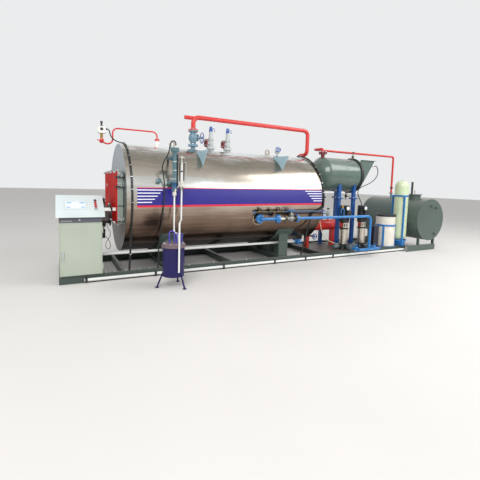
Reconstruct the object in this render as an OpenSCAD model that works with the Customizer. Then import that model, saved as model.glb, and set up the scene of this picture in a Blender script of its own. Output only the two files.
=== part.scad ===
// A packaged fire-tube steam boiler on its skid, with its burner, console, pumps, economiser and tanks.
// The origin is on the floor below the barrel's axis at the front plate. +X runs to the rear, the
// console, gauge and feed line are on the -Y side, and +Z is up. All sizes are in millimetres.

/* [Barrel] */
// Diameter over the cladding
barrel_d = 1900; // [1700:10:2100]
// Length over the end plates
barrel_len = 4000; // [3600:10:4600]
// Height of the barrel's axis above the floor
axis_h = 1310; // [1250:10:1500]
// Shell, insulation and cladding together
clad_t = 90; // [60:5:120]
// Thickness of the flat end plates
end_plate_t = 14; // [8:1:20]
// Width of the rolled band round each end
rim_w = 60; // [40:5:90]
// Thickness of the rolled bands
rim_t = 6; // [3:1:10]

/* [Skid] */
// Width over the two long channels
skid_w = 1440; // [1300:10:1600]
// Height of the channels
skid_h = 126; // [100:2:160]
// Width of the channel flanges
channel_flange = 53; // [40:1:70]
// Web thickness of the channels
channel_web = 6; // [5:0.5:10]
// Flange thickness of the channels
channel_lip = 9; // [6:0.5:12]
// How far the skid runs ahead of the front plate
skid_front = 950; // [900:10:1200]
// How far the skid runs behind the barrel
skid_behind = 3040; // [3000:10:3100]

/* [Saddles] */
// Distance of each saddle from its end of the barrel
saddle_inset = 800; // [600:10:1000]
// Length of a saddle along the barrel
saddle_len = 220; // [160:10:300]
// Width of a saddle across the skid
saddle_w = 1320; // [1200:10:1400]
// Plate thickness of the saddles
saddle_t = 14; // [10:1:20]
// Length of the wear pad along the barrel
pad_len = 400; // [300:10:500]
// Half angle of the wear pad round the barrel
pad_angle = 52; // [45:1:60]

/* [Front door] */
// Width of the front smoke box door
door_w = 1500; // [1200:10:1600]
// Height of the front smoke box door
door_h = 840; // [700:10:1000]
// How far the smoke box stands out from the front plate
door_depth = 110; // [80:5:160]
// Thickness of the door's cover plate
door_t = 16; // [8:1:24]
// Height of the door's centre above the floor
door_z = 1340; // [1300:5:1400]

/* [Console] */
// Width of the console's cabinet
console_w = 600; // [500:10:700]
// Depth of the console's cabinet
console_d = 420; // [350:10:500]
// Height of the cabinet's straight part
console_h = 910; // [800:10:1000]
// Height of the sloped desk's back above its front edge
desk_rise = 270; // [200:10:350]
// How far the desk overhangs the cabinet on each side
desk_over = 40; // [20:5:60]
// Sheet thickness of the console
sheet_t = 2; // [1.5:0.5:3]

/* [Steam line] */
// Distance of the main steam valve from the front plate
steam_x = 1415; // [1300:5:1500]
// Outside diameter of the steam pipe
steam_pipe_d = 89; // [76:1:108]
// Height of the steam pipe above the top of the barrel
steam_rise = 630; // [560:10:740]
// Distances of the two safety valves from the front plate
safety_x1 = 1790; // [1700:5:1900]
safety_x2 = 2165; // [2050:5:2300]

/* [Feed line] */
// Outside diameter of the feed pipe
feed_d = 57; // [48:1:76]
// Height of the feed pipe above the floor
feed_z = 962; // [900:2:1050]
// Distance of the feed pipe from the barrel's axis
feed_y = 1035; // [1020:5:1080]
// Distance of the feed inlet from the front plate
feed_x = 2430; // [2300:10:2500]

/* [Economiser] */
// Diameter of the economiser
eco_d = 820; // [700:10:900]
// Length of the economiser's straight shell
eco_len = 1000; // [900:10:1200]
// Gap from the barrel's rear to the economiser's straight shell
eco_gap = 690; // [650:10:800]
// Height of the economiser's axis above the barrel's axis
eco_rise = 590; // [540:10:690]
// Shell thickness of the economiser
eco_t = 8; // [5:1:12]

/* [Feed tank] */
// Diameter of the feed-water tank
tank_d = 1080; // [900:10:1200]
// Length of the tank across the skid's axis
tank_len = 1820; // [1500:10:2200]
// Shell thickness of the tank
tank_t = 6; // [4:1:10]
// Distance of the tank's axis from the barrel's rear
tank_gap = 3700; // [3660:10:3900]
// Height of the tank's axis above the floor
tank_z = 810; // [780:10:900]
// Distance of the tank's front disc from the barrel's axis
tank_front_y = 920; // [880:10:1000]

/* [Pumps and softener] */
// Distance of the first pump from the barrel's rear
pump_inset = 1060; // [1000:10:1100]
// Distance between the two pumps
pump_gap = 580; // [500:10:650]
// Distance of the pumps from the barrel's axis
pump_y = 500; // [460:10:540]
// Diameter of the brine tank
brine_d = 470; // [400:10:500]
// Height of the brine tank with no lid
brine_h = 745; // [700:5:900]
// Diameter of the softener's resin tank
resin_d = 340; // [300:10:360]
// Height of the resin tank
resin_h = 1580; // [1500:10:1800]

/* [Hidden] */

$fn = 48;
// The gap that lies between two curved pieces that seat on each other
seat = 0.3;
// What a cut runs past the face that it opens
cut = 1;

barrel_r = barrel_d / 2;
skid_rear = barrel_len + skid_behind;
eco_z = axis_h + eco_rise;
tank_x = barrel_len + tank_gap;
pump_x1 = barrel_len + pump_inset;

// Where the surface of the barrel lies, at a height above the floor
function barrel_y(z, r = barrel_r) = sqrt(r * r - (z - axis_h) * (z - axis_h));
function barrel_top(y, r = barrel_r) = axis_h + sqrt(r * r - y * y);

// A round bar from one point to another
module rod(a, b, d) {
    v = b - a;
    l = norm(v);
    translate(a) rotate([0, acos(v.z / l), atan2(v.y, v.x)]) cylinder(d = d, h = l);
}

// A quarter or other part of a ring that turns a round bar from direction u to direction v
module bend(corner, u, v, r, d) {
    a = acos(u * v);
    n = (v - u * (u * v)) / norm(v - u * (u * v));
    o = corner - u * r * tan(a / 2) + n * r;
    w = cross(-n, u);
    multmatrix([
        [-n.x, u.x, w.x, o.x],
        [-n.y, u.y, w.y, o.y],
        [-n.z, u.z, w.z, o.z],
        [0, 0, 0, 1]
    ]) rotate_extrude(angle = a) translate([r, 0]) circle(d = d);
}

function unit(v) = v / norm(v);
function turn(p, i) = acos(unit(p[i] - p[i - 1]) * unit(p[i + 1] - p[i]));
// How much a bend takes off the straight length before and after its corner
function bend_take(p, i, r) = i == 0 || i == len(p) - 1 ? 0 : r * tan(turn(p, i) / 2);

// A round bar through a row of points, with every corner bent to one radius
module pipe_run(p, d, r) {
    for (i = [0 : len(p) - 2]) {
        u = unit(p[i + 1] - p[i]);
        rod(p[i] + u * bend_take(p, i, r), p[i + 1] - u * bend_take(p, i + 1, r), d);
    }
    if (len(p) > 2)
        for (i = [1 : len(p) - 2])
            bend(p[i], unit(p[i] - p[i - 1]), unit(p[i + 1] - p[i]), r, d);
}

// A round bar through a row of points that turns in any direction, with a ball at every corner
module elbow_run(p, d) {
    for (i = [0 : len(p) - 2]) rod(p[i], p[i + 1], d);
    if (len(p) > 2)
        for (i = [1 : len(p) - 2]) translate(p[i]) sphere(d = d + 4);
}

// Turns a piece that is drawn along +Z to run along another axis
module along_x() { rotate([0, 90, 0]) children(); }
module along_y() { rotate([-90, 0, 0]) children(); }

// A bolted flange pair, drawn along +Z about its joint
module flange_pair(d, t) {
    translate([0, 0, -t]) cylinder(d = d, h = t);
    cylinder(d = d, h = t);
}

// A handwheel drawn in the XY plane: rim, hub and spokes
module handwheel(d, bar, hub_d, hub_h, spokes) {
    rotate_extrude() translate([(d - bar) / 2, 0]) circle(d = bar, $fn = 16);
    translate([0, 0, -hub_h / 2]) cylinder(d = hub_d, h = hub_h, $fn = 24);
    for (i = [0 : spokes - 1])
        rotate([0, 90, i * 360 / spokes]) translate([0, 0, hub_d / 4])
            cylinder(d = bar * 0.7, h = (d - bar) / 2 - hub_d / 4, $fn = 16);
}

// One C channel along +X, its web on the XZ plane at y = 0 and its flanges towards +Y
module channel(l, h, flange, web, lip) {
    rotate([90, 0, 90]) linear_extrude(l) polygon([
        [0, 0], [flange, 0], [flange, lip], [web, lip],
        [web, h - lip], [flange, h - lip], [flange, h], [0, h]
    ]);
}

// Cuts a neck to the curve of what it stands on, with a seat's gap
module seated_on_barrel() {
    difference() {
        children();
        translate([-cut, 0, axis_h]) along_x() cylinder(r = barrel_r + seat, h = barrel_len + 2 * cut, $fn = 240);
    }
}

module seated_on_economiser() {
    difference() {
        children();
        translate([eco_x, 0, eco_z]) along_x() cylinder(d = eco_d + 2 * seat, h = eco_len, $fn = 240);
    }
}

module seated_on_tank() {
    difference() {
        children();
        translate([tank_x, -tank_front_y - cut, tank_z]) along_y()
            cylinder(d = tank_d + 2 * seat, h = tank_len + 2 * cut, $fn = 240);
    }
}

eco_x = barrel_len + eco_gap;
eco_end = eco_x + eco_len;
skid_half = skid_w / 2;
leg_x = [eco_x + 350, eco_x + 830];
header_leg_x = [barrel_len + 350, barrel_len + 1150];
deck_t = 8;
deck_z = skid_h + deck_t;
rear_deck_x = skid_rear - 1070;
cross_x = [
    -skid_front + channel_flange / 2, -420, 0, saddle_inset, barrel_len / 2, barrel_len - saddle_inset,
    header_leg_x[0], leg_x[0], leg_x[1], skid_rear - 740, skid_rear - channel_flange / 2
];

module skid_channels() {
    color("#46564e") {
        translate([-skid_front, -skid_half, 0])
            channel(skid_front + skid_rear, skid_h, channel_flange, channel_web, channel_lip);
        translate([-skid_front, skid_half, 0]) mirror([0, 1, 0])
            channel(skid_front + skid_rear, skid_h, channel_flange, channel_web, channel_lip);
    }
}

module skid_cross_members() {
    inner = skid_half - channel_flange;
    color("#3c4a46")
        for (x = cross_x)
            translate([x - channel_flange / 2, -inner, 0]) rotate([0, 0, 90]) mirror([0, 1, 0])
                channel(2 * inner, skid_h, channel_flange, channel_web, channel_lip);
}

// The plates that the pumps, the economiser's legs and the softener stand on
module deck_plates() {
    color("#4a5650") {
        translate([barrel_len + 220, -skid_half, skid_h]) cube([1600, skid_half + 400, deck_t]);
        translate([rear_deck_x, -skid_half, skid_h]) cube([skid_rear - rear_deck_x, 640, deck_t]);
    }
}

// A curved strip of plate that lies against the barrel's underside
module wear_pad(l, r, t, half_angle) {
    along_x() rotate([0, 0, -half_angle])
        rotate_extrude(angle = 2 * half_angle) translate([r, 0]) square([t, l]);
}

// The pale blowdown line that runs along under the barrel
blow_d = 48;
blow_y = 500;
blow_z = axis_h - sqrt(barrel_r * barrel_r - blow_y * blow_y) - 107;

module saddle() {
    pad_r = barrel_r + seat;
    top_r = pad_r + saddle_t;
    rib_y = [-saddle_w / 2, -saddle_w / 5, saddle_w / 5 - saddle_t, saddle_w / 2 - saddle_t];
    translate([-saddle_len / 2, -saddle_w / 2, skid_h]) cube([saddle_len, saddle_w, saddle_t]);
    translate([-pad_len / 2, 0, axis_h]) wear_pad(pad_len, pad_r, saddle_t, pad_angle);
    difference() {
        union() {
            translate([-saddle_t / 2, -saddle_w / 2, skid_h]) cube([saddle_t, saddle_w, axis_h / 2]);
            for (y = rib_y)
                translate([-saddle_len / 2, y, skid_h]) cube([saddle_len, saddle_t, axis_h / 2]);
        }
        translate([-saddle_len, 0, axis_h]) along_x() cylinder(r = top_r - saddle_t / 2, h = 2 * saddle_len);
        translate([-saddle_len, -blow_y, blow_z]) along_x() cylinder(d = blow_d + 12, h = 2 * saddle_len);
    }
}

module saddles() {
    color("#3f4e49")
        for (x = [saddle_inset, barrel_len - saddle_inset])
            translate([x, 0, 0]) saddle();
}

module barrel_cladding() {
    color("#c9ccce")
        translate([end_plate_t, 0, axis_h]) along_x() difference() {
            cylinder(r = barrel_r, h = barrel_len - 2 * end_plate_t, $fn = 96);
            translate([0, 0, -cut])
                cylinder(r = barrel_r - clad_t, h = barrel_len - 2 * end_plate_t + 2 * cut, $fn = 96);
        }
}

module front_plate() {
    color("#b9c0c4") translate([0, 0, axis_h]) along_x() cylinder(r = barrel_r, h = end_plate_t, $fn = 96);
}

module rear_plate() {
    color("#b9c0c4")
        translate([barrel_len - end_plate_t, 0, axis_h]) along_x()
            cylinder(r = barrel_r, h = end_plate_t, $fn = 96);
}

module rim_bands() {
    color("#d6dadc")
        for (x = [0, barrel_len - rim_w])
            translate([x, 0, axis_h]) along_x() difference() {
                cylinder(r = barrel_r + seat + rim_t, h = rim_w, $fn = 96);
                translate([0, 0, -cut]) cylinder(r = barrel_r + seat, h = rim_w + 2 * cut, $fn = 96);
            }
}

module smoke_box() {
    wall = 12;
    color("#97a39b")
        translate([-door_depth, -door_w / 2, door_z - door_h / 2]) difference() {
            cube([door_depth, door_w, door_h]);
            translate([-cut, wall, wall])
                cube([door_depth + 2 * cut, door_w - 2 * wall, door_h - 2 * wall]);
        }
}

module smoke_box_door() {
    color("#c22f2b")
        translate([-door_depth - door_t, -door_w / 2, door_z - door_h / 2])
            cube([door_t, door_w, door_h]);
}

clamp_w = 46;
clamp_y = [-door_w / 2 + 60, -door_w / 6, door_w / 6 - clamp_w, door_w / 2 - 60 - clamp_w];

// A galvanised clamp that holds the cover's edge: a lug on the box with a bar over the plate
module door_clamp() {
    lug_h = 34;
    bar_t = 14;
    translate([-door_depth - door_t - bar_t, 0, 0]) cube([door_depth + door_t + bar_t, clamp_w, bar_t]);
    translate([-door_depth - door_t - bar_t, 0, -lug_h]) cube([bar_t, clamp_w, lug_h]);
    translate([-door_depth + 10, 0, 0]) cube([22, clamp_w, lug_h]);
}

module door_clamps() {
    color("#aeb4b2")
        for (y = clamp_y) {
            translate([0, y, door_z + door_h / 2]) door_clamp();
            translate([0, y, door_z - door_h / 2]) mirror([0, 0, 1]) door_clamp();
        }
}

// Height of the burner's axis above the floor
burner_z = 1010;
burner_face = -door_depth - door_t;

module burner() {
    flange_d = 420;
    tube_d = 300;
    tube_len = burner_tube;
    fan_len = 210;
    motor_d = 190;
    motor_len = 200;
    color("#4c4f52")
        translate([burner_face, 0, burner_z]) rotate([0, -90, 0]) {
            cylinder(d = flange_d, h = 14);
            cylinder(d = tube_d, h = tube_len);
            translate([0, 0, tube_len]) cylinder(d = burner_fan_d, h = fan_len);
            translate([0, 0, tube_len + fan_len]) cylinder(d = motor_d, h = motor_len);
        }
}

burner_tube = 90;
burner_fan_d = 440;
gas_pipe_d = 60;

module gas_train() {
    valve_x = burner_face - burner_tube - 60;
    valve_z = burner_z - burner_fan_d / 2 - 110 - seat;
    color("#24272b") {
        translate([valve_x - 60, -55, valve_z - 90]) cube([120, 110, 150]);
        translate([valve_x - 45, -45, valve_z + 60]) cube([90, 90, 50]);
        rod([valve_x, 55, valve_z], [valve_x, 200, valve_z], gas_pipe_d);
        translate([valve_x, 200, valve_z]) along_y() cylinder(d = 140, h = 18);
    }
}

trunk_w = 50;
trunk_y = -680;
trunk_z = 1125;

module cable_trunk() {
    x0 = console_x0 + console_w + desk_over + seat;
    color("#f2f3f0")
        translate([x0, trunk_y - trunk_w / 2, trunk_z]) cube([burner_face - seat - x0, trunk_w, trunk_w]);
}

console_x0 = -940;
console_y0 = -730;
console_z0 = skid_h;
door_gap = 6;
door_edge = 34;
console_top = console_z0 + console_h;

module console_cabinet() {
    w = console_w;
    d = console_d;
    opening_z = 30;
    color("#bdc4b4") {
        translate([console_x0, console_y0, console_z0]) difference() {
            cube([w, d, console_h]);
            translate([sheet_t, sheet_t, sheet_t])
                cube([w - 2 * sheet_t, d - 2 * sheet_t, console_h - 2 * sheet_t]);
            translate([door_edge, -cut, opening_z])
                cube([w - 2 * door_edge, sheet_t + 2 * cut, console_h - 120 - opening_z]);
        }
        for (z = hinge_z) translate([0, 0, z]) {
            translate([hinge_x, hinge_y, -knuckle_h - knuckle_gap]) cylinder(d = pin_d, h = 3 * knuckle_h + 2 * knuckle_gap);
            for (k = [-knuckle_h - knuckle_gap, knuckle_h + knuckle_gap]) {
                translate([hinge_x, hinge_y, k]) cylinder(d = knuckle_d, h = knuckle_h);
                translate([console_x0 + w, hinge_y, k]) cube([knuckle_d / 2, 60, knuckle_h]);
            }
        }
    }
}

console_door_t = 20;
knuckle_d = 18;
knuckle_h = 34;
knuckle_gap = 1;
pin_d = 8;
pin_play = 0.5;
hinge_x = console_x0 + console_w + knuckle_d / 2;
hinge_y = console_y0 - door_gap - console_door_t / 2;
console_door_z = console_z0 + 12;
console_door_h = console_h - 96;
hinge_z = [console_door_z + 100, console_door_z + console_door_h - 100 - knuckle_h];

module console_door() {
    w = console_w - 8;
    handle_h = 110;
    color("#c3cabb") {
        translate([console_x0 + 4, console_y0 - console_door_t - door_gap, console_door_z]) {
            difference() {
                cube([w, console_door_t, console_door_h]);
                translate([sheet_t, sheet_t, sheet_t])
                    cube([w - 2 * sheet_t, console_door_t, console_door_h - 2 * sheet_t]);
            }
            translate([34, -12, console_door_h / 2 - handle_h / 2 - 120]) cube([26, 12, handle_h]);
        }
        for (z = hinge_z) translate([0, 0, z]) difference() {
            union() {
                translate([hinge_x, hinge_y, 0]) cylinder(d = knuckle_d, h = knuckle_h);
                translate([console_x0 + 4 + w - sheet_t, hinge_y - knuckle_d / 2, 0])
                    cube([hinge_x - console_x0 - 4 - w + sheet_t, knuckle_d / 2, knuckle_h]);
            }
            translate([hinge_x, hinge_y, -cut]) cylinder(d = pin_d + 2 * pin_play, h = knuckle_h + 2 * cut);
        }
    }
}

desk_front_y = console_y0 - 60;
desk_back_y = console_y0 + console_d;
desk_lip = 50;

module console_desk() {
    x0 = console_x0 - desk_over;
    w = console_w + 2 * desk_over;
    color("#d5dfdb") translate([x0, 0, 0]) rotate([90, 0, 90]) difference() {
        linear_extrude(w) polygon([
            [desk_front_y, console_top], [desk_back_y, console_top],
            [desk_back_y, console_top + desk_lip + desk_rise], [desk_back_y - 60, console_top + desk_lip + desk_rise],
            [desk_front_y, console_top + desk_lip]
        ]);
        translate([0, 0, sheet_t]) linear_extrude(w - 2 * sheet_t) polygon([
            [desk_front_y + sheet_t, console_top + sheet_t], [desk_back_y - sheet_t, console_top + sheet_t],
            [desk_back_y - sheet_t, console_top + desk_lip + desk_rise - sheet_t],
            [desk_back_y - 60, console_top + desk_lip + desk_rise - sheet_t],
            [desk_front_y + sheet_t, console_top + desk_lip - sheet_t]
        ]);
    }
}

desk_run = desk_back_y - 60 - desk_front_y;
desk_angle = atan2(desk_rise, desk_run);

// Places a piece on the sloped desk: x along it, s up the slope from its front edge
module on_desk(x, s) {
    translate([console_x0 + x, desk_front_y, console_top + desk_lip]) rotate([desk_angle, 0, 0])
        translate([0, s, 0]) children();
}

module desk_controls() {
    screen_w = 290;
    screen_h = 190;
    button_d = 30;
    color("#23262a") {
        on_desk(90, 130) cube([screen_w, screen_h, 10]);
        for (i = [0 : 4])
            on_desk(520, 130 + 42 * i) cylinder(d = button_d, h = 22, $fn = 32);
    }
}

column_x = 730;
column_y = -1050;
column_z0 = axis_h + 170;
column_z1 = axis_h + 820;
column_d = 76;
upper_nozzle_z = axis_h + 690;
lower_nozzle_z = axis_h + 290;
glass_x = column_x + 120;
spare_x = 500;
spare_z = axis_h + 310;

module water_column() {
    nozzle_d = 34;
    flange_d = 140;
    color("#4d6b6e") {
        rod([column_x, column_y, column_z0], [column_x, column_y, column_z1], column_d);
        translate([column_x, column_y, column_z1]) cylinder(d = flange_d, h = 32);
        translate([column_x, column_y, column_z0 - 12]) cylinder(d = column_d + 30, h = 12);
        translate([column_x + 15, column_y, column_z1 + 32]) cylinder(d = 34, h = 24);
        for (z = [upper_nozzle_z, lower_nozzle_z]) {
            seated_on_barrel() rod([column_x, column_y, z], [column_x, -barrel_y(z) + 40, z], nozzle_d);
            translate([column_x, column_y + 90, z]) along_y() flange_pair(90, 12);
        }
        seated_on_barrel() rod([spare_x, -940, spare_z], [spare_x, -barrel_y(spare_z) + 40, spare_z], 60);
        translate([spare_x, -958, spare_z]) along_y() cylinder(d = 130, h = 18);
    }
}

glass_z0 = axis_h + 190;
glass_z1 = axis_h + 720;

module gauge_glass() {
    color("#dfe6e8") {
        rod([glass_x, column_y, glass_z0], [glass_x, column_y, glass_z1], 26);
        for (z = [glass_z0 + 30, glass_z1 - 30]) {
            rod([column_x + column_d / 2 + seat, column_y, z], [glass_x, column_y, z], 24);
            translate([glass_x, column_y, z - 25]) cylinder(d = 46, h = 50);
        }
        for (s = [-1, 1])
            rod([glass_x + s * 30, column_y, glass_z0 + 50], [glass_x + s * 30, column_y, glass_z1 - 50], 9);
        for (z = [glass_z0 + 50, glass_z1 - 58])
            translate([glass_x - 38, column_y - 9, z]) cube([76, 18, 8]);
    }
}

module drain_pipes() {
    drain_d = 27;
    color("#e4e6e3") {
        pipe_run([
            [column_x, column_y, column_z0 - 12 - seat], [column_x, column_y, 790],
            [column_x, sample_y, 790], [column_x, sample_y, cooler_top + 50 + seat]
        ], drain_d, 50);
        elbow_run([
            [glass_x, column_y, glass_z0 - seat], [glass_x, column_y, 1000],
            [cooler_x + 20, cooler_y - 215, 1000], [cooler_x + 20, cooler_y - 215, 260]
        ], drain_d);
        rod([-300, -blow_y, blow_z], [blow_valve_x, -blow_y, blow_z], blow_d);
        seated_on_barrel() pipe_run([
            [blow_valve_x + 140 + 2 * seat, -blow_y, blow_z], [blow_valve_x + 230, -blow_y, blow_z],
            [blow_valve_x + 230, -blow_y, axis_h - barrel_r + 240]
        ], blow_d, 60);
    }
}

blow_valve_x = barrel_len - 400;

cooler_x = 620;
sample_y = -1300;
cooler_y = -1400;
cooler_z0 = 170;
cooler_d = 335;
cooler_h = 450;

module cooler_barrel() {
    foot_r = 250;
    color("#2a1f8f") {
        translate([cooler_x, cooler_y, cooler_z0]) cylinder(d = cooler_d, h = cooler_h);
        for (a = [56, 176, 296])
            translate([cooler_x, cooler_y, 0]) rotate([0, 0, a]) {
                rod([foot_r, 0, 6], [cooler_d / 2 - 8, 0, cooler_z0 + 60], 26);
                translate([foot_r, 0, 0]) cylinder(d = 60, h = 8);
            }
    }
}

cooler_top = cooler_z0 + cooler_h;

module cooler_lid() {
    color("#a08a90") translate([cooler_x, cooler_y, cooler_top]) {
        cylinder(d = cooler_d + 45, h = 22);
        translate([0, 0, 22]) cylinder(d = cooler_d + 20, h = 28);
    }
}

module cooler_tubes() {
    lid_top = cooler_top + 50;
    color("#5a4fb4")
        for (s = [[-70, 190], [50, 150]])
            pipe_run([
                [cooler_x + s[0], cooler_y, lid_top], [cooler_x + s[0], cooler_y, lid_top + s[1]],
                [cooler_x + s[0] + 80, cooler_y, lid_top + s[1]], [cooler_x + s[0] + 80, cooler_y, lid_top]
            ], 22, 38);
}

siphon_x = 705;
switch_x = -262;

module siphon_pipe() {
    siphon_d = 27;
    bend_r = 90;
    z = barrel_top(0);
    color("#c8322e") {
        pipe_run([
            [siphon_x, 0, z + 140], [siphon_x, 0, z + 270], [-80, 0, z + 270], [-80, 0, z - 10],
            [switch_x, 0, z - 10], [switch_x, 0, z + 90]
        ], siphon_d, bend_r);
        translate([siphon_x, 0, z + 112]) cylinder(d = 90, h = 28);
    }
    color("#d9dcda") {
        translate([siphon_x, 0, z + seat]) cylinder(d = 40, h = 112 - seat);
    }
}

module pressure_switch() {
    z = barrel_top(0) + 90 + seat;
    color("#e3e4da") {
        translate([switch_x, 0, z]) cylinder(d = 40, h = 70);
        translate([switch_x - 68, -50, z + 70]) cube([130, 100, 120]);
        translate([switch_x, 0, z + 190]) cylinder(d = 24, h = 90 - seat);
    }
}

steam_flange_z = barrel_top(0) + 60;
valve_wheel_x = steam_x + 185;
steam_valve_z = barrel_top(0) + 240;
steam_joint_z = barrel_top(0) + 370;
steam_pipe_z = barrel_top(0) + steam_rise;

module steam_valve() {
    neck_d = 89;
    color("#5e7f92") {
        seated_on_barrel() translate([steam_x, 0, barrel_top(neck_d)])
            cylinder(d = neck_d, h = steam_flange_z - barrel_top(neck_d) + 20);
        translate([steam_x, 0, steam_flange_z]) cylinder(d = 190, h = 40);
        translate([steam_x, 0, steam_flange_z + 40]) cylinder(d = 110, h = steam_joint_z - steam_flange_z - 60);
        translate([steam_x, 0, steam_joint_z - 20]) cylinder(d = 190, h = 20);
        translate([steam_x, 0, steam_valve_z]) along_x() {
            cylinder(d = 80, h = 110);
            cylinder(d = 22, h = valve_wheel_x - steam_x - 12 - seat);
        }
    }
}

module steam_valve_wheel() {
    color("#3b5f8a") translate([valve_wheel_x, 0, steam_valve_z]) along_x() handwheel(220, 16, 44, 24, 3);
}

riser_x = barrel_len + 250;
header_d = 260;
header_z = 660;
jog_y = 330;
jog_z = barrel_top(0) + 80;

module steam_pipe() {
    bend_r = 115;
    color("#c8322e") {
        translate([steam_x, 0, steam_joint_z + seat]) cylinder(d = 190, h = 20);
        pipe_run([
            [steam_x, 0, steam_joint_z + seat], [steam_x, 0, steam_pipe_z], [riser_x, 0, steam_pipe_z],
            [riser_x, 0, jog_z], [riser_x, jog_y, jog_z], [riser_x, jog_y, header_z],
            [riser_x, header_d / 2, header_z]
        ], steam_pipe_d, bend_r);
        rod([steam_x - 180, 0, steam_pipe_z - 20], [steam_x + 30, 0, steam_pipe_z - 20], 76);
    }
}

module safety_valve() {
    neck_z = barrel_top(0);
    translate([0, 0, neck_z - 20]) cylinder(d = 76, h = 110);
    translate([0, 0, neck_z + 60]) flange_pair(165, 20);
    translate([0, 0, neck_z + 80]) cylinder(d = 100, h = 130);
    translate([0, 0, neck_z + 150]) rotate([0, -90, 0]) {
        cylinder(d = 76, h = 95);
        translate([0, 0, 95]) cylinder(d = 160, h = 20);
    }
    translate([0, 0, neck_z + 210]) cylinder(d = 130, h = 16);
    translate([0, 0, neck_z + 226]) cylinder(d1 = 100, d2 = 72, h = 160);
    translate([0, 0, neck_z + 386]) cylinder(d1 = 72, d2 = 56, h = 100);
}

module safety_valves() {
    color("#2f63b5") seated_on_barrel() for (x = [safety_x1, safety_x2]) translate([x, 0, 0]) safety_valve();
}

bracket_x = [1340, 3050];
bracket_top = axis_h + 875;
bracket_tip = axis_h + 600;
bracket_out = 950;

module walkway_brackets() {
    t = 10;
    r = barrel_r + seat;
    color("#9fc4dd")
        for (x = bracket_x, s = [-1, 1])
            translate([x - t / 2, 0, 0]) rotate([90, 0, 90]) linear_extrude(t) difference() {
                polygon([
                    [s * 200, bracket_top], [s * bracket_out, bracket_top],
                    [s * barrel_y(bracket_tip, r), bracket_tip], [s * 200, bracket_tip]
                ]);
                translate([0, axis_h]) circle(r = r, $fn = 96);
            }
}

module lifting_lugs() {
    t = 20;
    color("#8d9aa0")
        for (x = [1000, 3150])
            translate([x, t / 2, barrel_top(0) + seat]) rotate([90, 0, 0]) linear_extrude(t) difference() {
                union() {
                    translate([-60, 0]) square([120, 62]);
                    translate([0, 62]) circle(r = 60);
                }
                translate([0, 67]) circle(r = 28);
            }
}

// A small globe valve drawn along +X, its spindle up
module globe_valve(d, l, rise) {
    along_x() cylinder(d = d, h = l);
    for (x = [0, l - d * 0.3])
        translate([x, 0, 0]) along_x() cylinder(d = d * 1.7, h = d * 0.3);
    translate([l / 2, 0, 0]) sphere(d = d * 1.5);
    translate([l / 2, 0, 0]) cylinder(d = d * 0.9, h = rise * 0.6);
    translate([l / 2, 0, 0]) cylinder(d = d * 0.35, h = rise);
}

module small_valves() {
    color("#2a62a0") {
        // The vent on top of the barrel
        seated_on_barrel() translate([3410, 0, barrel_top(0) - 20]) cylinder(d = 40, h = 100);
        translate([3410, 0, barrel_top(0)]) {
            translate([-55, 0, 80]) globe_valve(40, 110, 90);
            translate([0, 0, 176]) handwheel(110, 12, 26, 16, 3);
        }
        // The three on the thin line beside the barrel, the last with a lever
        for (v = bypass_valve_x)
            translate([v[0], -bypass_y, bypass_z]) globe_valve(36, v[1] - v[0], 62);
        translate([bypass_valve_x[2][0] + 40, -bypass_y - 9, bypass_z + 58]) cube([90, 18, 8]);
        translate([bypass_valve_x[2][0] + 62, -bypass_y - 7, bypass_z + 60]) cube([12, 14, 36]);
        // The blowdown valve under the barrel, its wheel towards the near side
        translate([blow_valve_x + seat, -blow_y, blow_z]) {
            along_x() cylinder(d = 60, h = 140);
            for (x = [0, 122]) translate([x, 0, 0]) along_x() cylinder(d = 96, h = 18);
            translate([70, 0, 0]) rotate([90, 0, 0]) {
                cylinder(d = 54, h = 60);
                cylinder(d = 16, h = 100);
                translate([0, 0, 96]) handwheel(110, 12, 28, 18, 3);
            }
        }
        // The stop valve on top of the header and the drain valve under it
        translate([header_valve_x, 0, header_top + 78 + seat]) {
            cylinder(d = 110, h = 18);
            cylinder(d = 56, h = 130);
            translate([0, 0, 72]) sphere(d = 92);
            translate([-62, 0, 72 - seat]) along_x() cylinder(d = 40, h = 62);
            cylinder(d = 22, h = 190);
            translate([0, 0, 176]) cylinder(d = 66, h = 34);
        }
        difference() {
            translate([drain_x, 0, drain_z]) cylinder(d = 34, h = header_z - drain_z);
            translate([drain_x - 60, 0, header_z]) along_x() cylinder(d = header_d + 2 * seat, h = 120, $fn = 240);
        }
        translate([drain_x, 0, drain_z]) {
            sphere(d = 64);
            rotate([90, 0, 0]) {
                cylinder(d = 50, h = 130);
                cylinder(d = 16, h = 196);
                translate([0, 0, 190]) handwheel(124, 13, 30, 18, 3);
            }
        }
        // The air valve on top of the economiser and the drain valve under it
        seated_on_economiser() {
            translate([eco_end - 70, -120, eco_z + 370]) cylinder(d = 30, h = 90);
            translate([eco_end - 120, 0, eco_z - eco_d / 2 - 80]) cylinder(d = 30, h = 120);
        }
        translate([eco_end - 70, -120, eco_z + 470]) {
            sphere(d = 62);
            cylinder(d = 20, h = 120);
            translate([0, 0, 108]) cylinder(d = 76, h = 14);
        }
        translate([eco_end - 120, 0, eco_z - eco_d / 2 - 110]) {
            sphere(d = 74);
            translate([0, 0, -90]) cylinder(d = 26, h = 90);
            translate([0, -6, -8]) rotate([90, 0, 0]) cylinder(d = 18, h = 70);
            translate([-45, -84, -14]) cube([90, 10, 18]);
        }
    }
}

drain_x = barrel_len + 440;
drain_z = 411;

feed_flange_d = 165;
feed_stem = 166;
feed_down_x = barrel_len + 1330;
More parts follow.
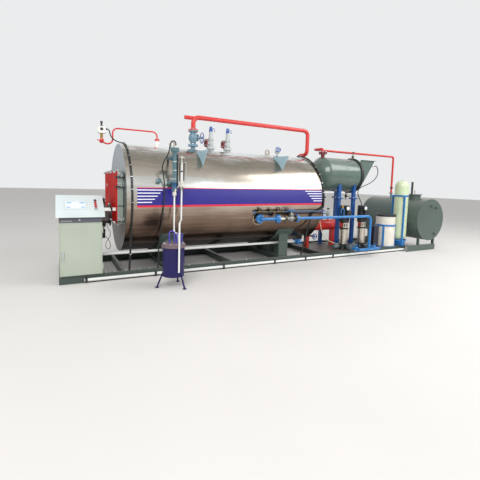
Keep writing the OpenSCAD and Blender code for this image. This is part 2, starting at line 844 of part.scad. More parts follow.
// The thin line above the feed pipe, and where its three small valves begin and end
bypass_x = feed_x - 120;
bypass_z = feed_z + 132;
bypass_y = feed_y - 50;
bypass_d = 24;
bypass_valve_x = [
    [feed_x - 65, feed_x + 45], [feed_x + 187, feed_x + 267], [feed_x + 353, feed_x + 493]
];
gauge_riser_x = barrel_len + 500;
manifold_z = deck_z + 70;
manifold_d = 60;

module feed_pipe() {
    y = -feed_y;
    flange_y = y + 75;
    color("#2a7fc8") {
        seated_on_barrel() {
            pipe_run([
                [feed_x, 60 - barrel_y(feed_z), feed_z], [feed_x, y, feed_z], [feed_x + 355, y, feed_z]
            ], feed_d, 55);
            pipe_run([
                [bypass_x, 60 - barrel_y(bypass_z), bypass_z], [bypass_x, -bypass_y, bypass_z],
                [bypass_valve_x[0][0] - seat, -bypass_y, bypass_z]
            ], bypass_d, 30);
        }
        translate([feed_x, flange_y, feed_z]) along_y() flange_pair(feed_flange_d, 20);
        translate([feed_x + 333, y, feed_z]) along_x() cylinder(d = feed_flange_d, h = 44);
        translate([feed_x + 785 + seat, y, feed_z]) along_x() cylinder(d = 150, h = 36);
        pipe_run([
            [feed_x + 790, y, feed_z], [feed_down_x, y, feed_z], [feed_down_x, y, manifold_z + manifold_d / 2 - 4]
        ], feed_d, 90);
        pipe_run([
            [gauge_riser_x, y, feed_z], [gauge_riser_x, y, feed_z + 178],
            [gauge_riser_x - 84, y, feed_z + 178], [gauge_riser_x - 84, y, feed_z + 60]
        ], 18, 36);
        for (i = [0, 1])
            rod([bypass_valve_x[i][1] + seat, -bypass_y, bypass_z],
                [bypass_valve_x[i + 1][0] - seat, -bypass_y, bypass_z], bypass_d);
        pipe_run([
            [bypass_valve_x[2][1] + seat, -bypass_y, bypass_z], [barrel_len + 34, -bypass_y, bypass_z],
            [barrel_len + 34, 0, bypass_z], [header_valve_x - 180, 0, bypass_z],
            [header_valve_x - 180, 0, header_top + 150], [header_valve_x - 62 - seat, 0, header_top + 150]
        ], bypass_d, 40);
    }
}

module feed_valves() {
    color("#8c8f8c")
        translate([feed_x + 377 + seat, -feed_y, feed_z]) {
            along_x() cylinder(d = 42, h = 152);
            translate([148, 0, 0]) along_x() cylinder(d = 125, h = 25);
            translate([160, 0, 0]) along_x() cylinder(d = 62, h = 240);
            translate([383 - seat, 0, 0]) along_x() cylinder(d = 125, h = 25 - seat);
            translate([feed_valve_x - feed_x - 377 - seat, 0, 0]) {
                sphere(d = 118);
                cylinder(d = 64, h = 70);
                translate([0, 0, 66]) cylinder(d = 96, h = 18);
                translate([0, 0, 84]) cylinder(d1 = 52, d2 = 34, h = 40);
                cylinder(d = 16, h = feed_stem - 12 - seat);
            }
        }
}

feed_valve_x = feed_x + 675;

module feed_valve_wheel() {
    color("#1f6fc0") translate([feed_valve_x, -feed_y, feed_z + feed_stem])
        handwheel(150, 12, 34, 24, 3);
}

module economiser_shell() {
    color("#5c6f66") translate([eco_x, 0, eco_z]) along_x() difference() {
        cylinder(d = eco_d, h = eco_len, $fn = 72);
        translate([0, 0, -cut]) cylinder(d = eco_d - 2 * eco_t, h = eco_len + 2 * cut, $fn = 72);
    }
}

eco_dish = 230;
dish_r = (eco_d * eco_d / 4 + eco_dish * eco_dish) / (2 * eco_dish);

// A dished end that bulges towards -Z, its rim at z = 0, as a shell
module dished_end(d, depth, t) {
    r = (d * d / 4 + depth * depth) / (2 * depth);
    rotate_extrude() intersection() {
        translate([0, r - depth]) difference() {
            circle(r = r, $fn = 144);
            circle(r = r - t, $fn = 144);
        }
        translate([0, -depth]) square([d / 2, depth]);
    }
}

module economiser_ends() {
    color("#5c6f66") {
        translate([eco_x, 0, eco_z]) along_x() dished_end(eco_d, eco_dish, eco_t);
        translate([eco_end, 0, eco_z]) along_x() difference() {
            cylinder(d = eco_d + 60, h = 14);
            translate([0, 0, -cut]) cylinder(d = 500, h = 14 + 2 * cut);
        }
    }
}

hood_x = eco_end + 14;

module flue_hood() {
    w = 600;
    t = 6;
    x0 = hood_x;
    z0 = eco_z - 160;
    top = eco_z + 390;
    foot_l = 140;
    top_l = 500;
    lip = 30;
    color("#5c6f66") {
        translate([x0, w / 2, 0]) rotate([90, 0, 0]) difference() {
            linear_extrude(w) polygon([[0, z0], [foot_l, z0], [top_l, top], [0, top]]);
            translate([0, 0, t]) linear_extrude(w - 2 * t)
                polygon([[-cut, z0 + t], [foot_l - t, z0 + t], [top_l - 2 * t, top + cut], [-cut, top + cut]]);
        }
        translate([x0, -w / 2 - lip, top - 8]) difference() {
            cube([top_l + lip, w + 2 * lip, 8]);
            translate([-cut, lip + t, -cut]) cube([top_l - 2 * t + cut, w - 2 * t, 8 + 2 * cut]);
        }
    }
}

leg_y = 300;

module economiser_legs() {
    leg = 75;
    stub_z = eco_z - 570;
    plate = 150;
    color("#1d5ca8") difference() {
        for (x = leg_x, y = [-leg_y, leg_y]) translate([x, y, 0]) {
            translate([-leg / 2, -leg / 2, deck_z]) cube([leg, leg, eco_z - deck_z]);
            translate([-plate / 2, -plate / 2, stub_z - 14]) cube([plate, plate, 28]);
            translate([-plate / 2, -plate / 2, deck_z]) cube([plate, plate, 14]);
        }
        translate([eco_x, 0, eco_z]) along_x() cylinder(d = eco_d + 2 * seat, h = eco_len, $fn = 72);
    }
}

flue_d = 380;

module flue_duct() {
    x0 = barrel_len + seat;
    wall = 6;
    color("#5c6f66") difference() {
        translate([x0, 0, eco_z]) along_x() {
            cylinder(d = flue_d, h = eco_x - x0);
            cylinder(d = flue_d + 90, h = 12);
        }
        translate([x0 + 12, 0, eco_z]) along_x() cylinder(d = flue_d - 2 * wall, h = eco_x);
        translate([eco_x - eco_dish + dish_r, 0, eco_z]) sphere(r = dish_r + seat, $fn = 240);
    }
}

// The top nozzle with its flanges, and the gland of the flue probe on the hood's near wall
module economiser_fittings() {
    color("#7b2b28") {
        seated_on_economiser() translate([return_x, 0, eco_z + eco_d / 2]) {
            translate([0, 0, -20]) cylinder(d = 89, h = 130);
            translate([0, 0, 110 - seat]) flange_pair(200, 20);
        }
        translate([hood_x + 446, -300 - seat, eco_z + 260]) rotate([90, 0, 0]) {
            cylinder(d = 44, h = 12);
            cylinder(d = 30, h = 33);
        }
    }
}

tank_back_y = tank_len - tank_front_y;
return_y = 330;
return_x = eco_x + 50;
return_z = eco_z + 620;

module condensate_pipe() {
    color("#c8322e")
        pipe_run([
            [return_x, 0, eco_z + eco_d / 2 + 130], [return_x, 0, return_z], [return_x, return_y, return_z],
            [tank_x, return_y, return_z], [tank_x, return_y, tank_z + tank_d / 2 + 130]
        ], 42, 60);
}

header_x0 = barrel_len + 150;
header_x1 = barrel_len + 1400;
header_valve_x = barrel_len + 1000;
header_top = header_z + header_d / 2;

module steam_header() {
    color("#c8322e") {
        translate([header_x0 + 60, 0, header_z]) along_x() cylinder(d = header_d, h = header_x1 - header_x0 - 120);
        for (x = header_leg_x)
            translate([x - 35, -60, deck_z]) cube([70, 120, header_z - header_d / 2 - deck_z + 30]);
        translate([header_valve_x, 0, header_top - 20]) cylinder(d = 48, h = 80);
        translate([header_valve_x, 0, header_top + 60]) cylinder(d = 110, h = 18);
    }
}

pump_x = [pump_x1, pump_x1 + pump_gap];

module pump_castings() {
    color("#1d2023")
        for (x = pump_x) translate([x, -pump_y, deck_z]) {
            translate([-110, -90, 0]) cube([220, 180, 24]);
            translate([0, 0, 24]) cylinder(d = 190, h = 100);
            translate([-150, 0, 70]) along_x() cylinder(d = 70, h = 300);
            translate([0, 0, 480]) cylinder(d = 210, h = 26);
            translate([-70, -50, 506]) cube([140, 100, 130]);
        }
}

module pump_sleeves() {
    color("#c3bfb4")
        for (x = pump_x) translate([x, -pump_y, deck_z + 124 + seat]) cylinder(d = 152, h = 356 - 2 * seat);
}

module pump_motors() {
    color("#1b1e22")
        for (x = pump_x) translate([x, -pump_y, deck_z + 636 + seat]) {
            cylinder(d = 230, h = 24);
            translate([0, 0, 24]) cylinder(d = 205, h = 330);
            translate([0, 0, 354]) cylinder(d = 180, h = 50);
            translate([-60, -150, 150]) cube([120, 80, 120]);
        }
}

module pump_manifold() {
    z = manifold_z;
    pump_side = -pump_y - 95 - seat;
    color("#2a7fc8") difference() {
        union() {
            rod([pump_x[0] - 50, -feed_y, z], [pump_x[1] + 50, -feed_y, z], manifold_d);
            for (x = pump_x) {
                rod([x, -feed_y, z], [x, pump_side, z], 48);
                translate([x, -pump_y - 230, z]) sphere(d = 110);
            }
        }
        translate([feed_down_x, -feed_y, z]) cylinder(d = feed_d + 2 * seat, h = manifold_d);
    }
}

// The control box between the pumps and the softener
module pump_panel() {
    color("#22305e") translate([rear_deck_x + 60, -560, deck_z]) {
        cube([170, 120, 500]);
        translate([-6, -6, 500]) cube([182, 132, 16]);
    }
}

brine_x = skid_rear - 500;
brine_y = -470;

module brine_tank() {
    t = 6;
    color("#d8d2c4") translate([brine_x, brine_y, deck_z + tray_h]) difference() {
        cylinder(d = brine_d, h = brine_h);
        translate([0, 0, t]) cylinder(d = brine_d - 2 * t, h = brine_h);
    }
}

module brine_lid() {
    color("#22252a") translate([brine_x, brine_y, deck_z + tray_h + brine_h]) cylinder(d = brine_d + 16, h = 40);
}

resin_x = skid_rear - 65;
resin_y = -560;

module resin_tank() {
    color("#c8d8a8") translate([resin_x, resin_y, resin_z]) {
        rotate_extrude() intersection() {
            union() {
                translate([0, resin_d / 2]) square([resin_d / 2, resin_h - resin_d]);
                translate([0, resin_d / 2]) scale([1, 1]) circle(d = resin_d);
                translate([0, resin_h - resin_d / 2]) circle(d = resin_d);
            }
            square([resin_d, resin_h]);
        }
    }
}

tray_h = 8;
beam_w = 76;
beam_h = 110;
resin_z = deck_z + beam_h + seat;
rail_z = 1440;

// A tray with a hoop on three posts for the brine tank, and a stand with two posts for the resin tank
module softener_frame() {
    bar = 36;
    tray_d = brine_d + 60;
    beam_x = resin_x - 114;
    half_y = 190;
    strap_z = deck_z + tray_h + 505;
    color("#0b5fa8") {
        translate([brine_x, brine_y, deck_z]) cylinder(d = tray_d, h = tray_h);
        translate([brine_x, brine_y, 0]) {
            translate([0, 0, strap_z]) difference() {
                cylinder(d = brine_d + 24, h = bar);
                translate([0, 0, -cut]) cylinder(d = brine_d + 2 * seat, h = bar + 2 * cut);
            }
            for (a = [-167, -47, 73])
                rotate([0, 0, a]) translate([brine_d / 2 + 2, -bar / 2, deck_z]) cube([10, bar, strap_z - deck_z + bar]);
        }
        translate([beam_x, resin_y - half_y, deck_z]) cube([beam_w, 2 * half_y, beam_h]);
        translate([beam_x + beam_w, resin_y - 100, deck_z]) cube([160, 200, beam_h]);
        for (y = [-half_y, half_y - bar])
            translate([beam_x, resin_y + y, deck_z + beam_h]) cube([bar, bar, rail_z - deck_z - beam_h]);
        difference() {
            translate([beam_x, resin_y - half_y, rail_z - bar]) cube([bar, 2 * half_y, bar]);
            translate([resin_x, resin_y, 0]) cylinder(d = resin_d + 2 * seat, h = rail_z + cut);
        }
    }
}

module tank_shell() {
    color("#6d7a70") translate([tank_x, -tank_front_y, tank_z]) along_y() difference() {
        cylinder(d = tank_d, h = tank_len, $fn = 72);
        translate([0, 0, -cut]) cylinder(d = tank_d - 2 * tank_t, h = tank_len + 2 * cut, $fn = 72);
    }
}

module tank_ends() {
    t = 8;
    color("#6d7a70")
        for (y = [-tank_front_y - t, tank_back_y])
            translate([tank_x, y, tank_z]) along_y() cylinder(d = tank_d, h = t, $fn = 72);
}

module tank_fittings() {
    top = tank_z + tank_d / 2;
    color("#6d7a70") seated_on_tank() {
        translate([tank_x, -420, top - 60]) cylinder(d = 320, h = 150);
        translate([tank_x, -420, top + 90]) cylinder(d = 380, h = 24);
        translate([tank_x, return_y, top - 20]) cylinder(d = 42, h = 130);
        translate([tank_x, return_y, top + 104]) cylinder(d = 120, h = 26 - seat);
        translate([tank_x - 113, -420, top + 110]) cylinder(d = 48, h = 337);
        translate([tank_x + 33, -420, top + 110]) cylinder(d = 50, h = 110);
    }
    color("#6d7a70")
        for (p = [[-3, 357], [194, 316], [193, -373]])
            translate([tank_x + p[0], -tank_front_y - 8 - seat, tank_z + p[1]]) rotate([90, 0, 0]) {
                cylinder(d = 62, h = 30);
                cylinder(d = 44, h = 42);
            }
}

module tank_base() {
    base_h = 150;
    color("#5d6a62") {
        for (y = [-880, 740])
            translate([tank_x - 770, y, 0]) channel(1110, base_h, 60, 8, 10);
        seated_on_tank()
            for (y = [-860, 760], x = [tank_x - 330, tank_x + 290])
                translate([x, y, base_h]) cube([40, 60, 400]);
    }
}

conduit_d = 32;
base_conduit_d = 48;
base_conduit_y = -skid_half - base_conduit_d / 2 - seat;
base_conduit_z = 50;
clip_x = [-590, 490, 1770, 2920, 3710, 4490];
front_conduit_x = 85;

// An arc of conduit on the near side of the barrel, from its top down
module conduit_arc(x, r, angle) {
    translate([x, 0, axis_h]) along_x() rotate([0, 0, 180])
        rotate_extrude(angle = angle, $fn = 96) translate([r, 0]) circle(d = conduit_d, $fn = 24);
}

module black_conduits() {
    front_r = barrel_r + seat + conduit_d / 2;
    rear_r = front_r + rim_t + 4;
    rear_x = barrel_len - rim_w / 2;
    kink_x = barrel_len - 310;
    foot_y = -skid_half + 30;
    foot_z = skid_h + 5;
    clip = base_conduit_d + 14;
    color("#1c1e20") {
        conduit_arc(front_conduit_x, front_r, leave_angle);
        elbow_run([on_arc(front_conduit_x, front_r, leave_angle), [front_conduit_x, foot_y, foot_z]], conduit_d);
        translate(on_arc(front_conduit_x, front_r + 2, leave_angle)) sphere(d = conduit_d + 4);
        conduit_arc(rear_x, rear_r, 98);
        translate(on_arc(rear_x, rear_r, 98)) sphere(d = conduit_d + 4);
        elbow_run([
            on_arc(rear_x, rear_r, 98), on_arc(kink_x, rear_r, 107), [kink_x - 40, foot_y, foot_z]
        ], conduit_d);
        for (x = clip_x) difference() {
            translate([x, base_conduit_y - clip / 2, base_conduit_z - clip / 2])
                cube([34, -skid_half - base_conduit_y + clip / 2, clip]);
            translate([x - cut, base_conduit_y, base_conduit_z]) {
                along_x() cylinder(d = base_conduit_d + 2 * seat, h = 34 + 2 * cut);
                translate([0, 0, -base_conduit_d / 2 - seat])
                    cube([34 + 2 * cut, base_conduit_d, base_conduit_d + 2 * seat]);
            }
        }
    }
}

// The angle from the top at which the front conduit leaves the barrel for the skid
leave_angle = 104.8;
function on_arc(x, r, a) = [x, -r * sin(a), axis_h + r * cos(a)];

module base_conduit() {
    color("#f0f1ee")
        rod([-600, base_conduit_y, base_conduit_z], [skid_rear - 80, base_conduit_y, base_conduit_z], base_conduit_d);
}

// A point on the smooth curve through a row of points, t of the way from point i to the next
function spline(p, i, t) =
    let (a = p[max(i - 1, 0)], b = p[i], c = p[i + 1], e = p[min(i + 2, len(p) - 1)])
    (2 * b + (c - a) * t + (2 * a - 5 * b + 4 * c - e) * t * t + (3 * b - a - 3 * c + e) * t * t * t) / 2;

// A cable along the smooth curve through a row of points, square to side at no point
module cable(p, d, side, steps = 4) {
    n = 8;
    q = [for (i = [0 : len(p) - 2], k = [0 : steps - 1]) spline(p, i, k / steps), p[len(p) - 1]];
    m = len(q);
    rings = [
        for (i = [0 : m - 1])
            let (
                t = i == 0 ? unit(p[1] - p[0]) : i == m - 1 ? unit(p[len(p) - 1] - p[len(p) - 2]) : unit(q[i + 1] - q[i - 1]),
                u = unit(cross(t, side)), v = cross(t, u)
            )
            [for (k = [0 : n - 1]) q[i] + (u * cos(360 * k / n) + v * sin(360 * k / n)) * d / 2]
    ];
    polyhedron(
        points = [for (r = rings) each r],
        faces = concat(
            [for (i = [0 : m - 2], k = [0 : n - 1]) [i * n + k, (i + 1) * n + k, i * n + (k + 1) % n]],
            [for (i = [0 : m - 2], k = [0 : n - 1])
                [i * n + (k + 1) % n, (i + 1) * n + k, (i + 1) * n + (k + 1) % n]],
            [[for (k = [0 : n - 1]) k]],
            [[for (k = [n - 1 : -1 : 0]) (m - 1) * n + k]]
        )
    );
}

module cables() {
    cable_d = 20;
    color("#17181a") {
        cable([
            [745, -1050, 2186.3], [745, -1050, 2206], [745, -1050, 2226], [732.7, -1050, 2255.7],
            [703, -1050, 2268], [673.3, -1050, 2255.7], [660, -1050, 2228], [651, -1049, 2185],
            [641, -1045, 2125], [618, -1030, 2040], [572, -1005, 1950], [545, -985, 1850],
            [560, -968, 1755], [580, -962, 1650], [590, -962, 1546], [586, -970, 1397],
            [573, -964, 1200], [567, -930, 1000], [563, -850, 800], [560, -770, 600],
            [560, -722, 400], [560, -700, 260], [560, -696, 128.3]
        ], cable_d, [0, 1, 0], 3);
        cable([
            [-199.7, -20, 2500], [-172, -20, 2500], [-146, -24, 2484], [-132, -29, 2452],
            [-124, -33, 2410], [-105, -36, 2368], [-70, -36, 2332], [-25, -33, 2306],
            [20, -28, 2292], [46, -24, 2287], [68.3, -22, 2286]
        ], cable_d, [0, 1, 0], 3);
        translate([eco_end, 0, 0]) cable([
            [460, -336, 2160], [468, -362, 2158], [488, -392, 2140], [506, -408, 2090],
            [515, -415, 2020], [500, -420, 1940], [420, -430, 1840], [290, -440, 1755],
            [140, -446, 1690], [-10, -450, 1640], [-130, -452, 1585], [-185, -455, 1510],
            [-178, -462, 1420], [-135, -472, 1330], [-95, -483, 1255], [-79, -489, 1210],
            [-78, -490, 1174.6]
        ], cable_d, [0, 1, 0], 3);
    }
}

skid_channels();
skid_cross_members();
deck_plates();
saddles();
barrel_cladding();
front_plate();
rear_plate();
rim_bands();
smoke_box();
smoke_box_door();
door_clamps();
burner();
gas_train();
cable_trunk();
console_cabinet();
console_door();
console_desk();
desk_controls();
water_column();
gauge_glass();
drain_pipes();
cooler_barrel();
cooler_lid();
cooler_tubes();
siphon_pipe();
pressure_switch();
steam_valve();
steam_valve_wheel();
steam_pipe();
safety_valves();
walkway_brackets();
lifting_lugs();
small_valves();
feed_pipe();
feed_valves();
feed_valve_wheel();
economiser_shell();
economiser_ends();
flue_duct();
flue_hood();
economiser_legs();
economiser_fittings();
condensate_pipe();
steam_header();
pump_castings();
pump_sleeves();
pump_motors();
pump_manifold();
pump_panel();
brine_tank();
brine_lid();
resin_tank();
softener_frame();
tank_shell();
tank_ends();
tank_fittings();
tank_base();
black_conduits();
base_conduit();
cables();
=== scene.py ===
# %% [markdown]
# # A packaged steam boiler, dressed in Blender
# The boiler's solids come from CAD and are a fixed frame: nothing here moves them. This script gives
# every solid the finish that the real plant has, and adds what a fitter would see up close: bolts,
# handwheels, gauges, buttons, ties and cables. It is laid out in cells, so it can be read and run step by
# step.

# %% Load the frame
import math

import bpy
from mathutils import Matrix, Vector


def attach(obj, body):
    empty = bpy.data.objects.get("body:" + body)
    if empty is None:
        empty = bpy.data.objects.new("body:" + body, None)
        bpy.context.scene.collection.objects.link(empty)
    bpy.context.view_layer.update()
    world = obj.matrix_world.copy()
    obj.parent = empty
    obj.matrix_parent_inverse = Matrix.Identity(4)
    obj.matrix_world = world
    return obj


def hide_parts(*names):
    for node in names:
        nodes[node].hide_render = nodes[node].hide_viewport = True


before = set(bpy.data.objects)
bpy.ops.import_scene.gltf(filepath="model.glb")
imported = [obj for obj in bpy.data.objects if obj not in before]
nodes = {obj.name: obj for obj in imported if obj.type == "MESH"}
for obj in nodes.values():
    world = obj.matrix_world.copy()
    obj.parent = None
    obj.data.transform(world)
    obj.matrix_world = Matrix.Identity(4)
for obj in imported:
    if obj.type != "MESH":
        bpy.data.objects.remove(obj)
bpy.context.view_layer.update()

# %% [markdown]
# ## Camera
# The eye stands at the height of a person, off the burner end on the near side, and looks along the
# barrel. A photographer who holds a camera by hand tips it a little, so there is a yaw, a dip and a small
# roll. The lens is 25 mm on a 36 mm sensor, and a small shift stands for the way the picture was cropped.

# %% Camera
eye = Vector((-0.9175, -6.438, 1.6055))
yaw, dip, roll = 0.488819, 0.0844946, 0.0278431

ahead = Vector((math.sin(yaw) * math.cos(dip), math.cos(yaw) * math.cos(dip), -math.sin(dip)))
level_right = Vector((math.cos(yaw), -math.sin(yaw), 0))
level_up = level_right.cross(ahead)
right = level_right * math.cos(roll) + level_up * math.sin(roll)
up = level_up * math.cos(roll) - level_right * math.sin(roll)

bpy.ops.object.camera_add()
camera = bpy.context.object
camera.matrix_world = Matrix((right, up, -ahead)).transposed().to_4x4()
camera.location = eye
camera.data.sensor_width = 36
camera.data.lens = 25.46
camera.data.shift_y = -0.05625
camera.data.clip_end = 200
bpy.context.scene.camera = camera
bpy.context.scene.view_settings.view_transform = "Standard"
print("camera looks along", tuple(round(c, 3) for c in ahead))

# %% [markdown]
# ## Small tools for the bench
# A few helpers keep the later cells short. Colours are picked on screen as sRGB hex, and Blender mixes
# light in linear numbers, so one function turns the one into the other. One function adds a shader node,
# sets it and wires it. The others are the moves of a hand in Blender: start clean, name the new piece,
# and settle it.

# %% Colour and shader tools
def colour(code):
    """An sRGB hex colour as the linear numbers that a shader wants."""
    parts = [int(code[i:i + 2], 16) / 255 for i in (1, 3, 5)]
    return [c / 12.92 if c <= 0.04045 else ((c + 0.055) / 1.055) ** 2.4 for c in parts] + [1]


def add(finish, kind, inputs=None, **settings):
    """Adds a shader node to a finish, with its properties and with its inputs set or linked."""
    node = finish.node_tree.nodes.new("ShaderNode" + kind)
    for name, value in settings.items():
        setattr(node, name, value)
    for socket, value in (inputs or {}).items():
        if isinstance(value, bpy.types.NodeSocket):
            finish.node_tree.links.new(value, node.inputs[socket])
        else:
            node.inputs[socket].default_value = value
    return node


def new_finish(name, roughness, metallic=0.0, ior=1.5, **sockets):
    """A named finish and its shader; numbers that are the same all over go on its own sockets."""
    finish = bpy.data.materials.new(name)
    finish.use_nodes = True
    shader = finish.node_tree.nodes["Principled BSDF"]
    shader.inputs["Roughness"].default_value = roughness
    shader.inputs["Metallic"].default_value = metallic
    if not metallic:
        shader.inputs["IOR"].default_value = ior
    for socket, value in sockets.items():
        shader.inputs[socket.replace("_", " ")].default_value = value
    return finish, shader


def wire(finish, shader, sources):
    """Links outputs to a shader's sockets, given as socket name and output."""
    for socket, source in sources.items():
        finish.node_tree.links.new(source, shader.inputs[socket])


def set_ramp(node, stops):
    """Gives a colour ramp its stops, from its first at 0 to its last at 1."""
    ramp = node.color_ramp
    ramp.elements[0].color, ramp.elements[1].color = colour(stops[0][1]), colour(stops[-1][1])
    for at, code in stops[1:-1]:
        ramp.elements.new(at).color = colour(code)


def per_mm(size):
    """A pattern's scale for a feature of this size in millimetres, as Blender's coordinates are metres."""
    return 1000 / size


print("paint red is", [round(c, 3) for c in colour("#c8302b")])

# %% Modelling tools
def clear():
    """Nothing selected and object mode on: an operator acts on all that is selected."""
    if bpy.context.mode != "OBJECT":
        bpy.ops.object.mode_set(mode="OBJECT")
    bpy.ops.object.select_all(action="DESELECT")


def pick(piece):
    """Selects one piece only."""
    clear()
    piece.select_set(True)
    bpy.context.view_layer.objects.active = piece
    return piece


def settle(piece, name=None):
    """Puts a piece's place into its mesh, so that its object stands at the origin, unturned and unscaled."""
    pick(piece)
    if name:
        piece.name = piece.data.name = name
    bpy.ops.object.transform_apply(location=True, rotation=True, scale=True)
    bpy.ops.object.shade_smooth_by_angle(angle=math.radians(35))
    return piece


def turn_to(along, at=(0, 0, 0)):
    """The placement that carries +Z to another direction, at a point."""
    return Matrix.Translation(at) @ Vector(along).to_track_quat("Z", "Y").to_matrix().to_4x4()


def block(name, low, high, edge=0.002):
    """A box between two corners, its edges rounded."""
    clear()
    low, high = Vector(low), Vector(high)
    bpy.ops.mesh.primitive_cube_add(size=1, location=(low + high) / 2, scale=high - low)
    piece = settle(bpy.context.object, name)
    bpy.ops.object.mode_set(mode="EDIT")
    bpy.ops.mesh.select_all(action="SELECT")
    bpy.ops.mesh.bevel(offset=edge, segments=2, affect="EDGES")
    bpy.ops.object.mode_set(mode="OBJECT")
    return settle(piece)


def lathe(name, profile, at=(0, 0, 0), along=(0, 0, 1), steps=32):
    """Turns a profile of (radius, height) pairs round an axis: one point is extruded along it, then spun."""
    clear()
    bpy.ops.mesh.primitive_plane_add(size=0.01)
    piece = bpy.context.object
    bpy.ops.object.mode_set(mode="EDIT")
    bpy.ops.mesh.merge(type="CENTER")
    bpy.ops.transform.translate(value=(profile[0][0], 0, profile[0][1]))
    for (r0, z0), (r1, z1) in zip(profile, profile[1:]):
        bpy.ops.mesh.extrude_region_move(TRANSFORM_OT_translate={"value": (r1 - r0, 0, z1 - z0)})
    bpy.ops.mesh.select_all(action="SELECT")
    bpy.ops.mesh.spin(steps=steps, angle=math.tau, center=(0, 0, 0), axis=(0, 0, 1))
    bpy.ops.mesh.select_all(action="SELECT")
    bpy.ops.mesh.remove_doubles(threshold=0.00002)
    bpy.ops.mesh.normals_make_consistent(inside=False)
    bpy.ops.object.mode_set(mode="OBJECT")
    piece.matrix_world = turn_to(along, at)
    return settle(piece, name)


def drum(radius, low, high):
    """The profile of a solid disc or rod between two heights."""
    return [(0, low), (radius, low), (radius, high), (0, high)]


def knob(radius, shoulder, top_radius, top, low=0):
    """The profile of a round head with a chamfered or tapered top."""
    return [(0, low), (radius, low), (radius, shoulder), (top_radius, top), (0, top)]


def hoop(inner, outer, low, high):
    """The closed profile of a ring or sleeve between two radii and two heights."""
    return [(inner, low), (outer, low), (outer, high), (inner, high), (inner, low)]


def weld_bead(inner, outer, at):
    """The closed profile of a weld bead 12 mm wide, round a shell at one place along its axis."""
    return [(inner, at - 0.006), (outer, at - 0.002), (outer, at + 0.002), (inner, at + 0.006),
            (inner, at - 0.006)]


def pipe(name, points, d, bend=0.05, sides=16):
    """A bent tube: a disc is extruded along each straight run, and spun round each corner."""
    points = [Vector(p) for p in points]
    headings = [(b - a).normalized() for a, b in zip(points, points[1:])]
    clear()
    bpy.ops.mesh.primitive_circle_add(vertices=sides, radius=d / 2, fill_type="NGON")
    piece = bpy.context.object
    piece.matrix_world = turn_to(headings[0], points[0])
    settle(piece, name)
    bpy.ops.object.mode_set(mode="EDIT")
    bpy.ops.mesh.select_all(action="SELECT")
    taken = 0
    for i, heading in enumerate(headings):
        last = i == len(headings) - 1
        angle = 0 if last else heading.angle(headings[i + 1])
        take = bend * math.tan(angle / 2)
        run = (points[i + 1] - points[i]).length - taken - take
        bpy.ops.mesh.extrude_region_move(TRANSFORM_OT_translate={"value": heading * run})
        if not last:
            axle = heading.cross(headings[i + 1]).normalized()
            centre = points[i + 1] - heading * take + axle.cross(heading) * bend
            # With no window the spin turns the other way, so its axis is turned round
            bpy.ops.mesh.spin(steps=max(3, int(angle * 6)), angle=angle, center=centre, axis=-axle)
        taken = take
    bpy.ops.mesh.select_all(action="SELECT")
    bpy.ops.mesh.normals_make_consistent(inside=False)
    bpy.ops.object.mode_set(mode="OBJECT")
    return settle(piece)


def joined(name, pieces):
    """Several pieces made into one."""
    clear()
    for piece in pieces:
        piece.select_set(True)
    bpy.context.view_layer.objects.active = pieces[0]
    if len(pieces) > 1:
        bpy.ops.object.join()
    pieces[0].name = pieces[0].data.name = name
    return pieces[0]


def repeat(name, piece, places):
    """Copies of one piece at each placement, each with its own mesh, joined; the pattern piece is used up."""
    copies = []
    for place in places:
        copy = piece.copy()
        copy.data = piece.data.copy()
        copy.data.transform(place)
        bpy.context.collection.objects.link(copy)
        copies.append(copy)
    bpy.data.objects.remove(piece)
    return joined(name, copies)


def dress(piece, finish, slot, body="root", stands_for=()):
    """Gives a new piece its finish and the body that carries it; the slot argument is not used."""
    piece.data.materials.clear()
    piece.data.materials.append(finish)
    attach(piece, body)
    if stands_for:
        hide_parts(*stands_for)
    return piece


print("bench tools ready")

# %% [markdown]
# ## Rubber and the hanging cables
# Three instrument cables are free to hang: one from the level column down the shell, one from the
# pressure switch to the conduit, and one from the flue probe to the second pump's motor. Each is a fixed
# length of 20 mm flexible PVC cable, so it is drawn first, as one smooth open curve through the points
# where it is clipped or sags.

# %% Cable sheath
# Soft PVC: IOR 1.53, a satin 0.45 where hands have rubbed it, and dust that takes its black to a dark grey
cable_pvc, shader = new_finish("black_cable_pvc", 0.45, ior=1.53)
place = add(cable_pvc, "TexCoord").outputs["Object"]
dust = add(cable_pvc, "TexNoise", {"Vector": place, "Scale": per_mm(60), "Detail": 4})
tone = add(cable_pvc, "Mix", {0: dust.outputs[0], 6: colour("#141516"), 7: colour("#303133")},
           data_type="RGBA")
grip = add(cable_pvc, "Bump", {"Height": dust.outputs[0], "Strength": 0.1, "Distance": 0.002})
wire(cable_pvc, shader, {"Base Color": tone.outputs[2], "Normal": grip.outputs[0]})
print("cable sheath made")

